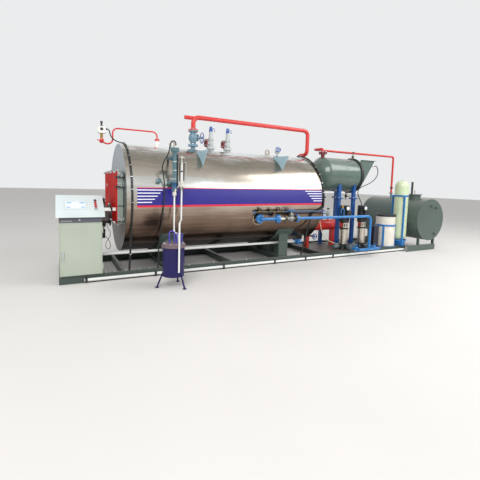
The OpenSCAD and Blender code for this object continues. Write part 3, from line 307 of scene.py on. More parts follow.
# %% Cable routes
cable_d = 0.020
cable_routes = {
    "level_cable": [
        (745, -1050, 2186.3), (745, -1050, 2206), (745, -1050, 2226), (732.7, -1050, 2255.7),
        (703, -1050, 2268), (673.3, -1050, 2255.7), (660, -1050, 2228), (651, -1049, 2185),
        (641, -1045, 2125), (618, -1030, 2040), (572, -1005, 1950), (545, -985, 1850), (560, -968, 1755),
        (580, -962, 1650), (590, -962, 1546), (586, -970, 1397), (573, -964, 1200), (567, -930, 1000),
        (563, -850, 800), (560, -770, 600), (560, -722, 400), (560, -700, 260), (560, -696, 128.3)],
    "switch_cable": [
        (-199.7, -20, 2500), (-172, -20, 2500), (-146, -24, 2484), (-132, -29, 2452), (-124, -33, 2410),
        (-105, -36, 2368), (-70, -36, 2332), (-25, -33, 2306), (20, -28, 2292), (46, -24, 2287),
        (68.3, -22, 2286)],
    "probe_cable": [
        (6150, -336, 2160), (6158, -362, 2158), (6178, -392, 2140), (6196, -408, 2090), (6205, -415, 2020),
        (6190, -420, 1940), (6110, -430, 1840), (5980, -440, 1755), (5830, -446, 1690), (5680, -450, 1640),
        (5560, -452, 1585), (5505, -455, 1510), (5512, -462, 1420), (5555, -472, 1330), (5595, -483, 1255),
        (5611, -489, 1210), (5612, -490, 1174.6)],
}


def smooth_route(route, steps=6):
    """Points along the smooth curve that passes through every point of a route, in metres."""
    p = [Vector(q) / 1000 for q in route]
    points = []
    for i in range(len(p) - 1):
        a, b, c, e = p[max(i - 1, 0)], p[i], p[i + 1], p[min(i + 2, len(p) - 1)]
        for k in range(steps):
            t = k / steps
            points.append((2 * b + (c - a) * t + (2 * a - 5 * b + 4 * c - e) * t ** 2
                           + (3 * b - a - 3 * c + e) * t ** 3) / 2)
    return points + [p[-1]]


def lay_cord(name, route, d, finish, slot, stands_for=()):
    """A cord along a route: one open curve with a round section, its length printed."""
    points = smooth_route(route)
    length = sum((b - a).length for a, b in zip(points, points[1:]))
    clear()
    bpy.ops.curve.primitive_nurbs_path_add()
    cord = bpy.context.object
    cord.name = cord.data.name = name
    cord.data.splines.clear()
    line = cord.data.splines.new("POLY")
    line.points.add(len(points) - 1)
    for point, spot in zip(line.points, points):
        point.co = (*spot, 1)
    cord.data.bevel_depth = d / 2
    cord.data.bevel_resolution = 3
    cord.data.use_fill_caps = True
    dress(cord, finish, slot, stands_for=stands_for)
    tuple(points[0])
    print(name, round(length, 3), "m")


for name, route in cable_routes.items():
    lay_cord(name, route, cable_d, cable_pvc, "black_plastic", stands_for=["cables"])

# %% [markdown]
# ## Floor and light
# A reusable part is shown on a plain pale floor in soft, even light, like a large white tent. Three large
# lamps stand in it: the key high on the left, one behind on the right that reaches the pumps and tanks,
# and a weak low one for what lies under the shell. The world gives most of the light, at a level where a
# colour renders about as it is written.

# %% Floor and lamps
clear()
bpy.ops.mesh.primitive_plane_add(size=120, location=(4, 0, -0.001))
floor = settle(bpy.context.object, "studio_floor")
floor_paint, shader = new_finish("pale_floor", 0.75)
place = add(floor_paint, "TexCoord").outputs["Object"]
patch = add(floor_paint, "TexNoise", {"Vector": place, "Scale": 0.6, "Detail": 4})
tone = add(floor_paint, "Mix", {0: patch.outputs[0], 6: colour("#dcd9d5"), 7: colour("#e6e3df")},
           data_type="RGBA")
wire(floor_paint, shader, {"Base Color": tone.outputs[2]})
floor.data.materials.append(floor_paint)

world = bpy.data.worlds.new("studio")
bpy.context.scene.world = world
world.use_nodes = True
backdrop = world.node_tree.nodes["Background"]
backdrop.inputs["Color"].default_value = colour("#f4f5f6")
ray = add(world, "LightPath")
seen = add(world, "Math", {0: ray.outputs["Is Camera Ray"], 1: ray.outputs["Is Glossy Ray"]},
           operation="MAXIMUM")
strength = add(world, "MapRange", {"Value": seen.outputs[0], "To Min": 0.62, "To Max": 0.92})
world.node_tree.links.new(strength.outputs[0], backdrop.inputs["Strength"])


def soft_lamp(name, at, aim, size, watts):
    """A large square lamp that looks at a point."""
    bpy.ops.object.light_add(type="AREA", location=at)
    lamp = bpy.context.object
    lamp.name = name
    lamp.rotation_euler = (Vector(aim) - Vector(at)).to_track_quat("-Z", "Y").to_euler()
    lamp.data.size = size
    lamp.data.energy = watts


soft_lamp("key_lamp", (-4.5, -9.0, 9.0), (3.0, 0.0, 1.0), 6.0, 900)
soft_lamp("rear_lamp", (10.0, -5.0, 7.5), (5.0, 0.0, 1.2), 5.0, 380)
soft_lamp("low_lamp", (6.5, -7.5, 4.2), (4.9, 0.0, 1.0), 4.5, 150)
print("floor, world and three lamps made")

# %% [markdown]
# ## Finishes
# A works-built boiler wears few kinds of finish: wiped stainless sheet, alkyd enamel on steel, powder
# coat on the console, zinc on the fasteners, bare castings and a handful of plastics. Each is one
# procedural material. Real paint is never one flat colour, so every paint has a slow cloud of lighter and
# darker film, the orange peel of a spray gun, dust where a face looks up, and rust where the film is
# broken.

# %% Painted steel
# A noise pattern rarely leaves this part of its range
noise_span = {"From Min": 0.3, "From Max": 0.7}


def shade(code, by):
    """A colour made lighter or darker."""
    return [min(c * by, 1) for c in colour(code)[:3]] + [1]


def painted_steel(name, code, roughness=0.38, dust=0.22, rust=0.15, gloss_coat=0.0, cloud_mm=420, shine=0.5):
    """Alkyd enamel on steel: IOR 1.5, a satin film, its orange peel drawn 9 mm wide so that it shows."""
    finish, shader = new_finish(name, roughness, Coat_Weight=gloss_coat, Coat_Roughness=0.12,
                                Specular_IOR_Level=shine)
    place = add(finish, "TexCoord").outputs["Object"]
    cloud = add(finish, "TexNoise", {"Vector": place, "Scale": per_mm(cloud_mm), "Detail": 5,
                                     "Roughness": 0.6})
    film = add(finish, "Mix", {0: cloud.outputs[0], 6: shade(code, 0.82), 7: shade(code, 1.16)},
               data_type="RGBA")
    facing = add(finish, "SeparateXYZ", {0: add(finish, "NewGeometry").outputs["Normal"]})
    level = add(finish, "MapRange", {"Value": facing.outputs[2], "From Min": 0.5, "From Max": 1,
                                     "To Max": dust})
    grit = add(finish, "TexNoise", {"Vector": place, "Scale": per_mm(70), "Detail": 6, "Roughness": 0.7})
    settled = add(finish, "Math", {0: level.outputs[0], 1: grit.outputs[0]}, operation="MULTIPLY")
    dusty = add(finish, "Mix", {0: settled.outputs[0], 6: film.outputs[2], 7: colour("#b3a898")},
                data_type="RGBA")
    speck = add(finish, "TexNoise", {"Vector": place, "Scale": per_mm(38), "Detail": 7, "Roughness": 0.75})
    broken = add(finish, "MapRange", {"Value": speck.outputs[0], "From Min": 0.64, "From Max": 0.72,
                                      "To Max": rust})
    rusty = add(finish, "Mix", {0: broken.outputs[0], 6: dusty.outputs[2], 7: colour("#6e4a36")},
                data_type="RGBA")
    worn = add(finish, "MapRange", {"Value": cloud.outputs[0], **noise_span,
                                    "To Min": max(roughness - 0.08, 0.1), "To Max": roughness + 0.14})
    peel = add(finish, "TexNoise", {"Vector": place, "Scale": per_mm(9), "Detail": 2})
    relief = add(finish, "Bump", {"Height": peel.outputs[0], "Strength": 0.12, "Distance": 0.001})
    wire(finish, shader, {"Base Color": rusty.outputs[2], "Roughness": worn.outputs[0],
                          "Normal": relief.outputs[0]})
    return finish


skid_enamel = painted_steel("dark_green_skid_enamel", "#414d48", 0.5, dust=0.5, rust=0.35)
# The deck is near black, darker than the skid: dirt, and painted shade under the pumps and tanks
deck_dirt_and_shade_enamel = painted_steel("brown_black_deck_paint_and_shade", "#2c2926", 0.5, dust=0.3, rust=0.4)
saddle_enamel = painted_steel("green_saddle_enamel", "#47554f", 0.45, dust=0.3)
tank_enamel = painted_steel("grey_green_tank_enamel", "#4d5b55", 0.34, gloss_coat=0.15, cloud_mm=600)
economiser_enamel = painted_steel("grey_green_economiser_enamel", "#566960", 0.2, gloss_coat=0.4,
                                  cloud_mm=500)
box_enamel = painted_steel("pale_green_box_enamel", "#8d988f", 0.45)
red_enamel = painted_steel("red_pipe_enamel", "#d3302a", 0.3, dust=0.12, rust=0.12, gloss_coat=0.3)
red_plate_enamel = painted_steel("red_door_enamel", "#bd1d18", 0.6, dust=0.1, shine=0.1)
dark_red_enamel = painted_steel("dark_red_primer", "#7c2c28", 0.5)
blue_pipe_enamel = painted_steel("light_blue_pipe_enamel", "#1774b8", 0.28, dust=0.12, rust=0.08,
                                 gloss_coat=0.3)
blue_frame_enamel = painted_steel("blue_frame_enamel", "#0f4f96", 0.32, dust=0.12, rust=0.12, gloss_coat=0.2)
blue_valve_enamel = painted_steel("deep_blue_valve_enamel", "#1f4fa0", 0.3, gloss_coat=0.3)
grey_blue_enamel = painted_steel("grey_blue_valve_enamel", "#6f8c9c", 0.4)
pale_blue_enamel = painted_steel("pale_blue_bracket_enamel", "#a3c3cf", 0.42, dust=0.3, rust=0.25)
teal_enamel = painted_steel("teal_column_enamel", "#53727a", 0.36, gloss_coat=0.2)
indigo_enamel = painted_steel("indigo_cooler_enamel", "#120a50", 0.34, dust=0.12, rust=0.2, gloss_coat=0.15,
                              shine=0.35)
mauve_lid_enamel = painted_steel("faded_mauve_lid_enamel", "#77646c", 0.5, dust=0.3, rust=0.45)
violet_tube_enamel = painted_steel("violet_tube_enamel", "#4b41b0", 0.32, gloss_coat=0.2)
white_pipe_enamel = painted_steel("white_pipe_enamel", "#e4e5e2", 0.4, dust=0.2, rust=0.25)
console_powder = painted_steel("pale_green_powder_coat", "#b2bbac", 0.42, dust=0.2, rust=0.05, cloud_mm=700)
desk_powder = painted_steel("pale_grey_powder_coat", "#d8e4e4", 0.4, dust=0.15, rust=0.04, cloud_mm=700)
band_powder = painted_steel("dark_grey_band_coat", "#5b5c66", 0.4, rust=0.05)
bright_frame_enamel = painted_steel("bright_blue_stand_enamel", "#2274b8", 0.34, dust=0.15, rust=0.1,
                                    gloss_coat=0.2)
line_enamel = painted_steel("dark_blue_line_enamel", "#235078", 0.4, rust=0.2)
lug_primer = painted_steel("rusty_lug_primer", "#a39d92", 0.55, dust=0.3, rust=0.7)
panel_enamel = painted_steel("navy_panel_enamel", "#0b1029", 0.4, dust=0.1, rust=0.1, gloss_coat=0.15)
print("painted finishes made")

# %% [markdown]
# ## The wiped stainless cladding
# The shell's sheet is mirror-bright stainless steel, 0.8 mm thick, that has been wiped with an oily rag.
# What it mirrors of the hall is painted into the metal's tint by height, as a painted reflection: pale
# where it looks up, grey and brown at its shoulder, and nearly black where it looks at the skid. The rag's
# streaks run along the shell and shift that painted reflection, and a faint ripple bends what it mirrors.

# %% Stainless sheet
# Stainless steel: metallic, default IOR, 0.15 to 0.3 rough between clean and wiped places
shell_foot, shell_top = 0.36, 2.26
cladding_sheet, shader = new_finish("wiped_stainless_sheet", 0.22, metallic=1.0)
place = add(cladding_sheet, "TexCoord").outputs["Object"]
axes = add(cladding_sheet, "SeparateXYZ", {0: place})
height = add(cladding_sheet, "MapRange", {"Value": axes.outputs[2], "From Min": shell_foot,
                                          "From Max": shell_top})
drift = add(cladding_sheet, "TexNoise", {"Vector": place, "Scale": 0.9, "Detail": 3})
stretched = add(cladding_sheet, "Mapping", {"Vector": place, "Rotation": (0, 0.06, 0),
                                            "Scale": (0.8, 2.5, 17)})
streak = add(cladding_sheet, "TexNoise", {"Vector": stretched.outputs[0], "Scale": 1.0, "Detail": 7,
                                          "Roughness": 0.68, "Distortion": 0.7})
leaning = add(cladding_sheet, "Mapping", {"Vector": place, "Rotation": (0, 0.55, 0), "Scale": (2.5, 2.5, 16)})
wipe = add(cladding_sheet, "TexNoise", {"Vector": leaning.outputs[0], "Scale": 1.0, "Detail": 6,
                                        "Roughness": 0.6, "Distortion": 1.1})
top_only = add(cladding_sheet, "MapRange", {"Value": axes.outputs[2], "From Min": 1.85, "From Max": 2.15,
                                            "To Min": 0.02, "To Max": 0.22})
drift_by = add(cladding_sheet, "MapRange", {"Value": drift.outputs[0], **noise_span, "To Min": -0.05,
                                            "To Max": 0.05})
streak_by = add(cladding_sheet, "MapRange", {"Value": streak.outputs[0], **noise_span, "To Min": -0.045,
                                             "To Max": 0.045})
wipe_by = add(cladding_sheet, "Math", {0: wipe.outputs[0], 1: 0.5}, operation="SUBTRACT")
wipe_top = add(cladding_sheet, "Math", {0: wipe_by.outputs[0], 1: top_only.outputs[0]}, operation="MULTIPLY")
moved = add(cladding_sheet, "Math", {0: height.outputs[0], 1: drift_by.outputs[0]})
moved = add(cladding_sheet, "Math", {0: moved.outputs[0], 1: streak_by.outputs[0]})
moved = add(cladding_sheet, "Math", {0: moved.outputs[0], 1: wipe_top.outputs[0]})
# Painted reflection by height: near black low down over the skid, brown and grey at the shoulder, pale on top
painted_light_tint = add(cladding_sheet, "ValToRGB", {0: moved.outputs[0]})
painted_reflection_stops = [(0.0, "#17120f"), (0.1, "#241b17"), (0.19, "#4e3e35"), (0.28, "#7a6659"), (0.36, "#907c6e"),
              (0.44, "#ab9d90"), (0.5, "#c4bdb3"), (0.63, "#d5d7d3"), (0.7, "#bdb7ac"), (0.78, "#a99f92"),
              (0.86, "#8d877b"), (0.92, "#a5a197"), (0.97, "#dfe2e0"), (1.0, "#f0f3f2")]
set_ramp(painted_light_tint, painted_reflection_stops)
polish = add(cladding_sheet, "MapRange", {"Value": streak.outputs[0], **noise_span, "To Min": 0.15,
                                          "To Max": 0.3})
ripple = add(cladding_sheet, "TexNoise", {"Vector": place, "Scale": per_mm(330), "Detail": 2})
dented = add(cladding_sheet, "Bump", {"Height": ripple.outputs[0], "Strength": 0.25, "Distance": 0.012})
wire(cladding_sheet, shader, {"Base Color": painted_light_tint.outputs[0], "Roughness": polish.outputs[0],
                              "Normal": dented.outputs[0]})
print("stainless tint has", len(painted_reflection_stops), "stops")

# %% End plates
# Sanded galvanised plate, half dull: 0.38 rough. Light is painted into its tint by height: pale where it
# faces the roof lights, and darker and brown low down over the skid.
end_sheet, shader = new_finish("sanded_end_plate", 0.38, metallic=0.55)
place = add(end_sheet, "TexCoord").outputs["Object"]
axes = add(end_sheet, "SeparateXYZ", {0: place})
height = add(end_sheet, "MapRange", {"Value": axes.outputs[2], "From Min": shell_foot, "From Max": shell_top})
drift = add(end_sheet, "TexNoise", {"Vector": place, "Scale": per_mm(500), "Detail": 5, "Roughness": 0.6})
drift_by = add(end_sheet, "MapRange", {"Value": drift.outputs[0], **noise_span, "To Min": -0.09,
                                       "To Max": 0.09})
moved = add(end_sheet, "Math", {0: height.outputs[0], 1: drift_by.outputs[0]})
painted_light_tint = add(end_sheet, "ValToRGB", {0: moved.outputs[0]})
painted_light_plate_stops = [(0.0, "#46423c"), (0.3, "#64625f"), (0.6, "#868e93"), (1.0, "#9ca5ac")]
set_ramp(painted_light_tint, painted_light_plate_stops)
wire(end_sheet, shader, {"Base Color": painted_light_tint.outputs[0]})
print("end plate tint has", len(painted_light_plate_stops), "stops")

# %% [markdown]
# ## Bare metals, castings and plastics
# Fasteners are zinc plated, the front clamps are hot-dip galvanised with its flaky spangle, pump sleeves
# and the gauge's guard are bright stainless, cocks are brass or bronze, and motors and pump feet are
# black cast iron with the grain of the sand mould.

# %% Metals
def metal(name, dark, light, roughness, grain_mm, relief=0.1, stretch=(1, 1, 1)):
    """Bare metal: metallic 1, default IOR, its grain as streaks or clouds between two tones."""
    finish, shader = new_finish(name, roughness, metallic=1.0)
    place = add(finish, "TexCoord").outputs["Object"]
    pulled = add(finish, "Mapping", {"Vector": place, "Scale": stretch})
    grain = add(finish, "TexNoise", {"Vector": pulled.outputs[0], "Scale": per_mm(grain_mm), "Detail": 5,
                                     "Roughness": 0.65})
    tone = add(finish, "Mix", {0: grain.outputs[0], 6: colour(dark), 7: colour(light)}, data_type="RGBA")
    worn = add(finish, "MapRange", {"Value": grain.outputs[0], **noise_span, "To Min": roughness - 0.07,
                                    "To Max": roughness + 0.1})
    bump = add(finish, "Bump", {"Height": grain.outputs[0], "Strength": relief, "Distance": 0.001})
    wire(finish, shader, {"Base Color": tone.outputs[2], "Roughness": worn.outputs[0],
                          "Normal": bump.outputs[0]})
    return finish


bronze = metal("weathered_bronze", "#35342b", "#7d7660", 0.45, 18)
zinc = metal("zinc_plated_steel", "#8d9195", "#d3d6d8", 0.36, 25)
pump_stainless = metal("drawn_stainless_tube", "#a39c8d", "#f0ebdf", 0.22, 40, stretch=(6, 6, 0.4))
gauge_bright = metal("polished_gauge_steel", "#9aa0a2", "#f1f4f4", 0.2, 60)
brass = metal("cast_brass", "#8d6a34", "#d3ae6a", 0.34, 20)
bare_cast_steel = metal("shot_blasted_cast_steel", "#6c6f6e", "#b2b5b3", 0.46, 7, relief=0.3)
spindle_steel = metal("turned_spindle_steel", "#84888a", "#cdd1d3", 0.28, 8, stretch=(1, 1, 8))

galvanised, shader = new_finish("hot_dip_galvanised", 0.42, metallic=0.9)
place = add(galvanised, "TexCoord").outputs["Object"]
flakes = add(galvanised, "TexVoronoi", {"Vector": place, "Scale": per_mm(14)}, feature="F1")
flake_tone = add(galvanised, "SeparateColor", {0: flakes.outputs["Color"]})
tone = add(galvanised, "Mix", {0: flake_tone.outputs[0], 6: colour("#8f9694"), 7: colour("#ccd2cf")},
           data_type="RGBA")
wire(galvanised, shader, {"Base Color": tone.outputs[2]})
print("bare metals made")


# %% Castings and plastics
def moulded(name, dark, light, roughness, grain_mm, relief=0.1, ior=1.5, **sockets):
    """A casting or a plastic with no metal shine: two close tones and the grain of its mould."""
    finish, shader = new_finish(name, roughness, ior=ior, **sockets)
    place = add(finish, "TexCoord").outputs["Object"]
    cloud = add(finish, "TexNoise", {"Vector": place, "Scale": per_mm(160), "Detail": 5, "Roughness": 0.65})
    tone = add(finish, "Mix", {0: cloud.outputs[0], 6: colour(dark), 7: colour(light)}, data_type="RGBA")
    worn = add(finish, "MapRange", {"Value": cloud.outputs[0], **noise_span, "To Min": roughness - 0.06,
                                    "To Max": roughness + 0.1})
    grain = add(finish, "TexNoise", {"Vector": place, "Scale": per_mm(grain_mm), "Detail": 3})
    bump = add(finish, "Bump", {"Height": grain.outputs[0], "Strength": relief, "Distance": 0.001})
    wire(finish, shader, {"Base Color": tone.outputs[2], "Roughness": worn.outputs[0],
                          "Normal": bump.outputs[0]})
    return finish


black_iron = moulded("black_painted_cast_iron", "#131517", "#2d3033", 0.42, 5, relief=0.35)
burner_iron = metal("dark_cast_aluminium", "#4b4a49", "#8d8884", 0.45, 30, relief=0.2)
slate_casting = moulded("slate_painted_casting", "#3f4b4f", "#6d7b80", 0.45, 6, relief=0.35)
cast_body = moulded("grey_painted_casting", "#9aa1a1", "#c9cfce", 0.45, 6, relief=0.35)
black_nylon = moulded("black_nylon", "#0f1011", "#26282a", 0.4, 3)
white_pvc = moulded("white_pvc_duct", "#dcdedb", "#f3f4f1", 0.35, 30, relief=0.05)
white_abs = moulded("white_abs_housing", "#e2e2da", "#f4f4ee", 0.38, 3)
cream_hose = moulded("cream_hose", "#cfcaa8", "#e6e2c6", 0.5, 10)
# Rotary moulded polyethylene is waxy: IOR 1.51, a little light gets into it
brine_polyethylene = moulded("off_white_polyethylene", "#d3cdbf", "#ebe7dd", 0.48, 8, relief=0.15,
                             Subsurface_Weight=0.08, Subsurface_Scale=0.01)
lid_polyethylene = moulded("black_polyethylene", "#15171a", "#30343a", 0.45, 5, relief=0.25)
# Wound glass fibre in clear resin: the windings cross at about 15 mm, under a gloss coat
resin_fibreglass = moulded("pale_green_fibreglass", "#b9caa0", "#dbe6c4", 0.32, 15, relief=0.2,
                           Coat_Weight=0.4, Coat_Roughness=0.1)
ivory_fitting = moulded("ivory_enamelled_cock", "#cfcbbb", "#efece0", 0.35, 5)
banner_vinyl = moulded("indigo_banner_vinyl", "#1e1774", "#2b248c", 0.4, 60, relief=0.08)
stripe_red = moulded("red_banner_vinyl", "#c81f3a", "#e2304c", 0.36, 60, relief=0.05)
stripe_white = moulded("white_banner_vinyl", "#e9eaf4", "#fafbff", 0.38, 60, relief=0.05)
button_red = moulded("red_push_button", "#b3141c", "#d8262c", 0.25, 4)
button_grey = moulded("grey_push_button", "#8d9296", "#b1b6b9", 0.3, 4)
screen_glass = moulded("pale_blue_screen_glass", "#dfeaf2", "#f6fbff", 0.08, 200, relief=0.0, ior=1.52)
screen_corner = moulded("light_blue_screen_field", "#8fb8dc", "#a9cbe8", 0.1, 200, relief=0.0, ior=1.52)
cap_white = moulded("white_printed_cap", "#e8eaea", "#fbfcfc", 0.4, 3)
silver_tie = metal("bright_cable_tie", "#b4b8ba", "#eceeee", 0.3, 30)
sealant = moulded("tan_ring_sealant", "#8f8069", "#b5a68d", 0.6, 12, relief=0.3)
print("castings and plastics made")

# %% [markdown]
# ## Finishes on the solids
# Each solid gets the finish that its real part has. Only its material slot changes, never its shape or
# place.

# %% Finish on every solid
finish_of = {
    "skid_channels": skid_enamel, "skid_cross_members": skid_enamel, "deck_plates": deck_dirt_and_shade_enamel,
    "saddles": saddle_enamel, "barrel_cladding": cladding_sheet, "front_plate": end_sheet,
    "rear_plate": end_sheet, "rim_bands": cladding_sheet, "smoke_box": box_enamel,
    "smoke_box_door": red_plate_enamel, "door_clamps": galvanised, "burner": burner_iron,
    "gas_train": black_iron, "cable_trunk": white_pvc, "console_cabinet": console_powder,
    "console_door": console_powder, "console_desk": desk_powder, "desk_controls": black_nylon,
    "water_column": teal_enamel, "gauge_glass": ivory_fitting, "drain_pipes": white_pipe_enamel,
    "cooler_barrel": indigo_enamel, "cooler_lid": mauve_lid_enamel, "cooler_tubes": violet_tube_enamel,
    "siphon_pipe": red_enamel, "pressure_switch": white_abs, "steam_valve": grey_blue_enamel,
    "steam_valve_wheel": blue_valve_enamel, "steam_pipe": red_enamel, "safety_valves": cast_body,
    "walkway_brackets": pale_blue_enamel, "lifting_lugs": lug_primer, "small_valves": grey_blue_enamel,
    "feed_pipe": blue_pipe_enamel, "feed_valves": bare_cast_steel, "feed_valve_wheel": blue_pipe_enamel,
    "economiser_shell": economiser_enamel, "economiser_ends": economiser_enamel,
    "flue_duct": economiser_enamel, "flue_hood": economiser_enamel, "economiser_legs": blue_frame_enamel,
    "economiser_fittings": dark_red_enamel, "condensate_pipe": red_enamel, "steam_header": red_enamel,
    "pump_castings": black_iron, "pump_sleeves": pump_stainless, "pump_motors": black_iron,
    "pump_manifold": blue_pipe_enamel, "pump_panel": panel_enamel, "brine_tank": brine_polyethylene,
    "brine_lid": lid_polyethylene, "resin_tank": resin_fibreglass, "softener_frame": blue_frame_enamel,
    "tank_shell": tank_enamel, "tank_ends": tank_enamel, "tank_fittings": tank_enamel,
    "tank_base": tank_enamel, "black_conduits": black_nylon, "base_conduit": white_pvc, "cables": cable_pvc,
}
for name, solid in nodes.items():
    solid.data.materials.clear()
    solid.data.materials.append(finish_of[name])
print("finished", len(finish_of), "solids, left over:", set(nodes) - set(finish_of))

# %% [markdown]
# ## The striped banner on the shell
# A vinyl banner is stuck along the near side of the shell: deep indigo, a thin red line along its top, a
# broad one along its foot, and five short white lines at each end that step back one behind the other.
# Vinyl has no thickness to speak of, but a face that lies exactly in the shell would flicker, so each
# strip is cut from a cylinder that is a little wider than the shell and gets a millimetre of its own.

# %% Strips on the shell
shell_r, shell_z = 0.95, 1.31


def shell_strip(name, corners, lift):
    """A patch of the shell's curve inside four (x, z) corners, cut with one bisect for each edge."""
    clear()
    bpy.ops.mesh.primitive_cylinder_add(vertices=384, radius=shell_r + lift, depth=4.2,
                                        end_fill_type="NOTHING", location=(2, 0, shell_z),
                                        rotation=(0, math.pi / 2, 0))
    strip = settle(bpy.context.object, name)
    bpy.ops.object.mode_set(mode="EDIT")
    bpy.ops.mesh.select_all(action="SELECT")
    bpy.ops.mesh.bisect(plane_co=(0, -0.1, 0), plane_no=(0, 1, 0), clear_outer=True)
    for (x0, z0), (x1, z1) in zip(corners, corners[1:] + corners[:1]):
        bpy.ops.mesh.select_all(action="SELECT")
        outward = Vector((z1 - z0, 0, x0 - x1)).normalized()
        bpy.ops.mesh.bisect(plane_co=(x0, 0, z0), plane_no=outward, clear_outer=True)
    bpy.ops.object.mode_set(mode="OBJECT")
    sheet = strip.modifiers.new("sheet", "SOLIDIFY")
    sheet.thickness, sheet.offset = 0.0006, 1
    bpy.ops.object.modifier_apply(modifier="sheet")
    return settle(strip)


banner_x0, banner_x1, banner_slope = 0.16, 3.949, 0.033 / 3.789


def level_strip(name, x0, x1, z0, z1, lift):
    """A strip between two heights, given at the banner's front end, that climbs as the banner does."""
    climb0, climb1 = (x0 - banner_x0) * banner_slope, (x1 - banner_x0) * banner_slope
    return shell_strip(name, [(x0, z0 + climb0), (x1, z0 + climb1), (x1, z1 + climb1), (x0, z1 + climb0)],
                       lift)


dress(level_strip("banner_field", banner_x0, banner_x1, 1.191, 1.511, 0.0012), banner_vinyl, "indigo_paint")
red_lines = [level_strip("red", banner_x0, banner_x1, 1.191, 1.226, 0.0022),
             level_strip("red", banner_x0, banner_x1, 1.499, 1.511, 0.0022)]
dress(joined("banner_red_lines", red_lines), stripe_red, "red_paint")
white_lines = []
for i in range(5):
    white_lines.append(level_strip("white", banner_x0, 0.570 - 0.044 * i, 1.464 - 0.0495 * i,
                                   1.479 - 0.0495 * i, 0.0022))
    white_lines.append(level_strip("white", 3.506 + 0.051 * i, banner_x1, 1.464 - 0.0495 * i,
                                   1.479 - 0.0495 * i, 0.0022))
dress(joined("banner_white_lines", white_lines), stripe_white, "white_plastic")
print("banner of", 1 + len(red_lines) + len(white_lines), "strips")

# %% [markdown]
# ## Bolts
# Every flange is held by a ring of zinc-plated hex nuts on studs. One nut is turned on six steps, which
# gives the hexagon and its chamfers in one go, with a round stud end standing out of it, and is then
# copied to every place.

# %% Nuts and flange rings
def nut(size):
    """A hex nut of this width across its flats, with its stud's end, standing on z = 0."""
    corner = size / math.sqrt(3)
    hexagon = lathe("nut", [(0, -0.002), (corner, -0.002), (corner, 0.62 * size),
                            (0.87 * corner, 0.72 * size), (0, 0.72 * size)], steps=6)
    stud = lathe("stud", [(0, 0), (0.3 * size, 0), (0.3 * size, 0.98 * size), (0.24 * size, 1.05 * size),
                          (0, 1.05 * size)], steps=10)
    return joined("nut", [hexagon, stud])


def ring(at, along, d, count, start=0.0):
    """Placements in a ring about an axis, each standing along it."""
    return [turn_to(along, at) @ Matrix.Rotation(start + i * math.tau / count, 4, "Z")
            @ Matrix.Translation((d / 2, 0, 0)) for i in range(count)]


def spots(along, points):
    """Placements at single points, each standing along one direction."""
    return [turn_to(along, p) for p in points]


up_z, down_z, back_x, front_x, near_y = (0, 0, 1), (0, 0, -1), (1, 0, 0), (-1, 0, 0), (0, -1, 0)
steam_x, column_x, column_y = 1.415, 0.73, -1.05
feed_x, feed_y, feed_z, feed_wheel_x = 2.43, -1.035, 0.962, 3.105
economiser_axis, tank_axis = (0, 0, 1.9), (7.7, 0, 0.81)
pump_xs, pump_y = (5.06, 5.64), -0.5
leg_places = [(x, y) for x in (5.04, 5.52) for y in (-0.3, 0.3)]
flange_nuts = {
    "main_valve_nuts": (0.022, ring((steam_x, 0, 2.36), up_z, 0.15, 8, 0.39)
                        + ring((steam_x, 0, 2.6503), up_z, 0.15, 8, 0.39)
                        + ring((steam_x, 0, 2.61), down_z, 0.15, 8, 0.39)),
    "column_nuts": (0.016, ring((column_x, column_y, 2.162), up_z, 0.112, 8, 0.39)
                    + ring((column_x, -0.972, 2.0), near_y, 0.068, 4, 0.78)
                    + ring((column_x, -0.972, 1.6), near_y, 0.068, 4, 0.78)
                    + ring((0.5, -0.915, 1.62), near_y, 0.078, 4, 0.5)),
    "feed_nuts": (0.018, ring((feed_x, -0.98, feed_z), near_y, 0.13, 4, 0.78)
                  + ring((feed_x + 0.333, feed_y, feed_z), front_x, 0.13, 4, 0.78)
                  + ring((feed_x + 0.377, feed_y, feed_z), back_x, 0.13, 4, 0.78)
                  + ring((feed_x + 0.525, feed_y, feed_z), front_x, 0.1, 4, 0.78)
                  + ring((feed_x + 0.8213, feed_y, feed_z), back_x, 0.115, 4, 0.78)),
    "siphon_nuts": (0.014, ring((0.705, 0, 2.4), up_z, 0.068, 4, 0.78)),
    "economiser_nuts": (0.022, ring((4.74, 0, 2.4397), up_z, 0.165, 8)
                        + ring((4.74, 0, 2.3997), down_z, 0.165, 8)),
    "end_ring_nuts": (0.022, ring((5.69, 0, 1.9), front_x, 0.852, 28)),
    "leg_nuts": (0.024, spots(up_z, [
        (x + dx, y + dy, 1.344) for x, y in leg_places for dx in (-0.056, 0.056) for dy in (-0.056, 0.056)])),
    "manhole_nuts": (0.022, ring((7.7, -0.42, 1.464), up_z, 0.345, 12)),
    "pump_nuts": (0.02, spots(up_z, [
        (x + dx, pump_y + dy, 0.158) for x in pump_xs for dx in (-0.094, 0.094) for dy in (-0.074, 0.074)])),
    "skid_nuts": (0.03, spots(up_z, [(x, -0.69, 0.126) for x in (
        -0.28, -0.16, 0.02, 0.24, 0.42, 0.66, 0.94, 1.12, 1.6, 2.3)])),
    "clamp_nuts": (0.024, spots(front_x, [
        (-0.14, y + 0.023, z) for y in (-0.69, -0.25, 0.204, 0.644) for z in (1.743, 0.937)])),
    "cooler_lid_nuts": (0.018, ring((0.62, -1.4, 0.67), up_z, 0.31, 8, 0.2)),
}
for name, (size, places) in flange_nuts.items():
    dress(repeat(name, nut(size), places), zinc, "lid_paint" if name == "cooler_lid_nuts" else "galvanised")
print(sum(len(places) for size, places in flange_nuts.values()), "nuts")

# %% [markdown]
# ## The console's face
# The desk carries a touch screen in a pale bezel and a column of push buttons. The screen is lit, nearly
# white, with a pale blue field in each corner. Each button has a bright bezel ring and a domed cap. They
# stand square to the sloped desk, so they are made flat and carried there by one placement.

# %% Screen and buttons
desk = Matrix.Translation((-0.94, -0.79, 1.086)) @ Matrix.Rotation(math.atan2(270, 420), 4, "X")


def carried(piece, place):
    """A piece moved by a placement, its place then put into its mesh."""
    piece.matrix_world = place @ piece.matrix_world
    return settle(piece)


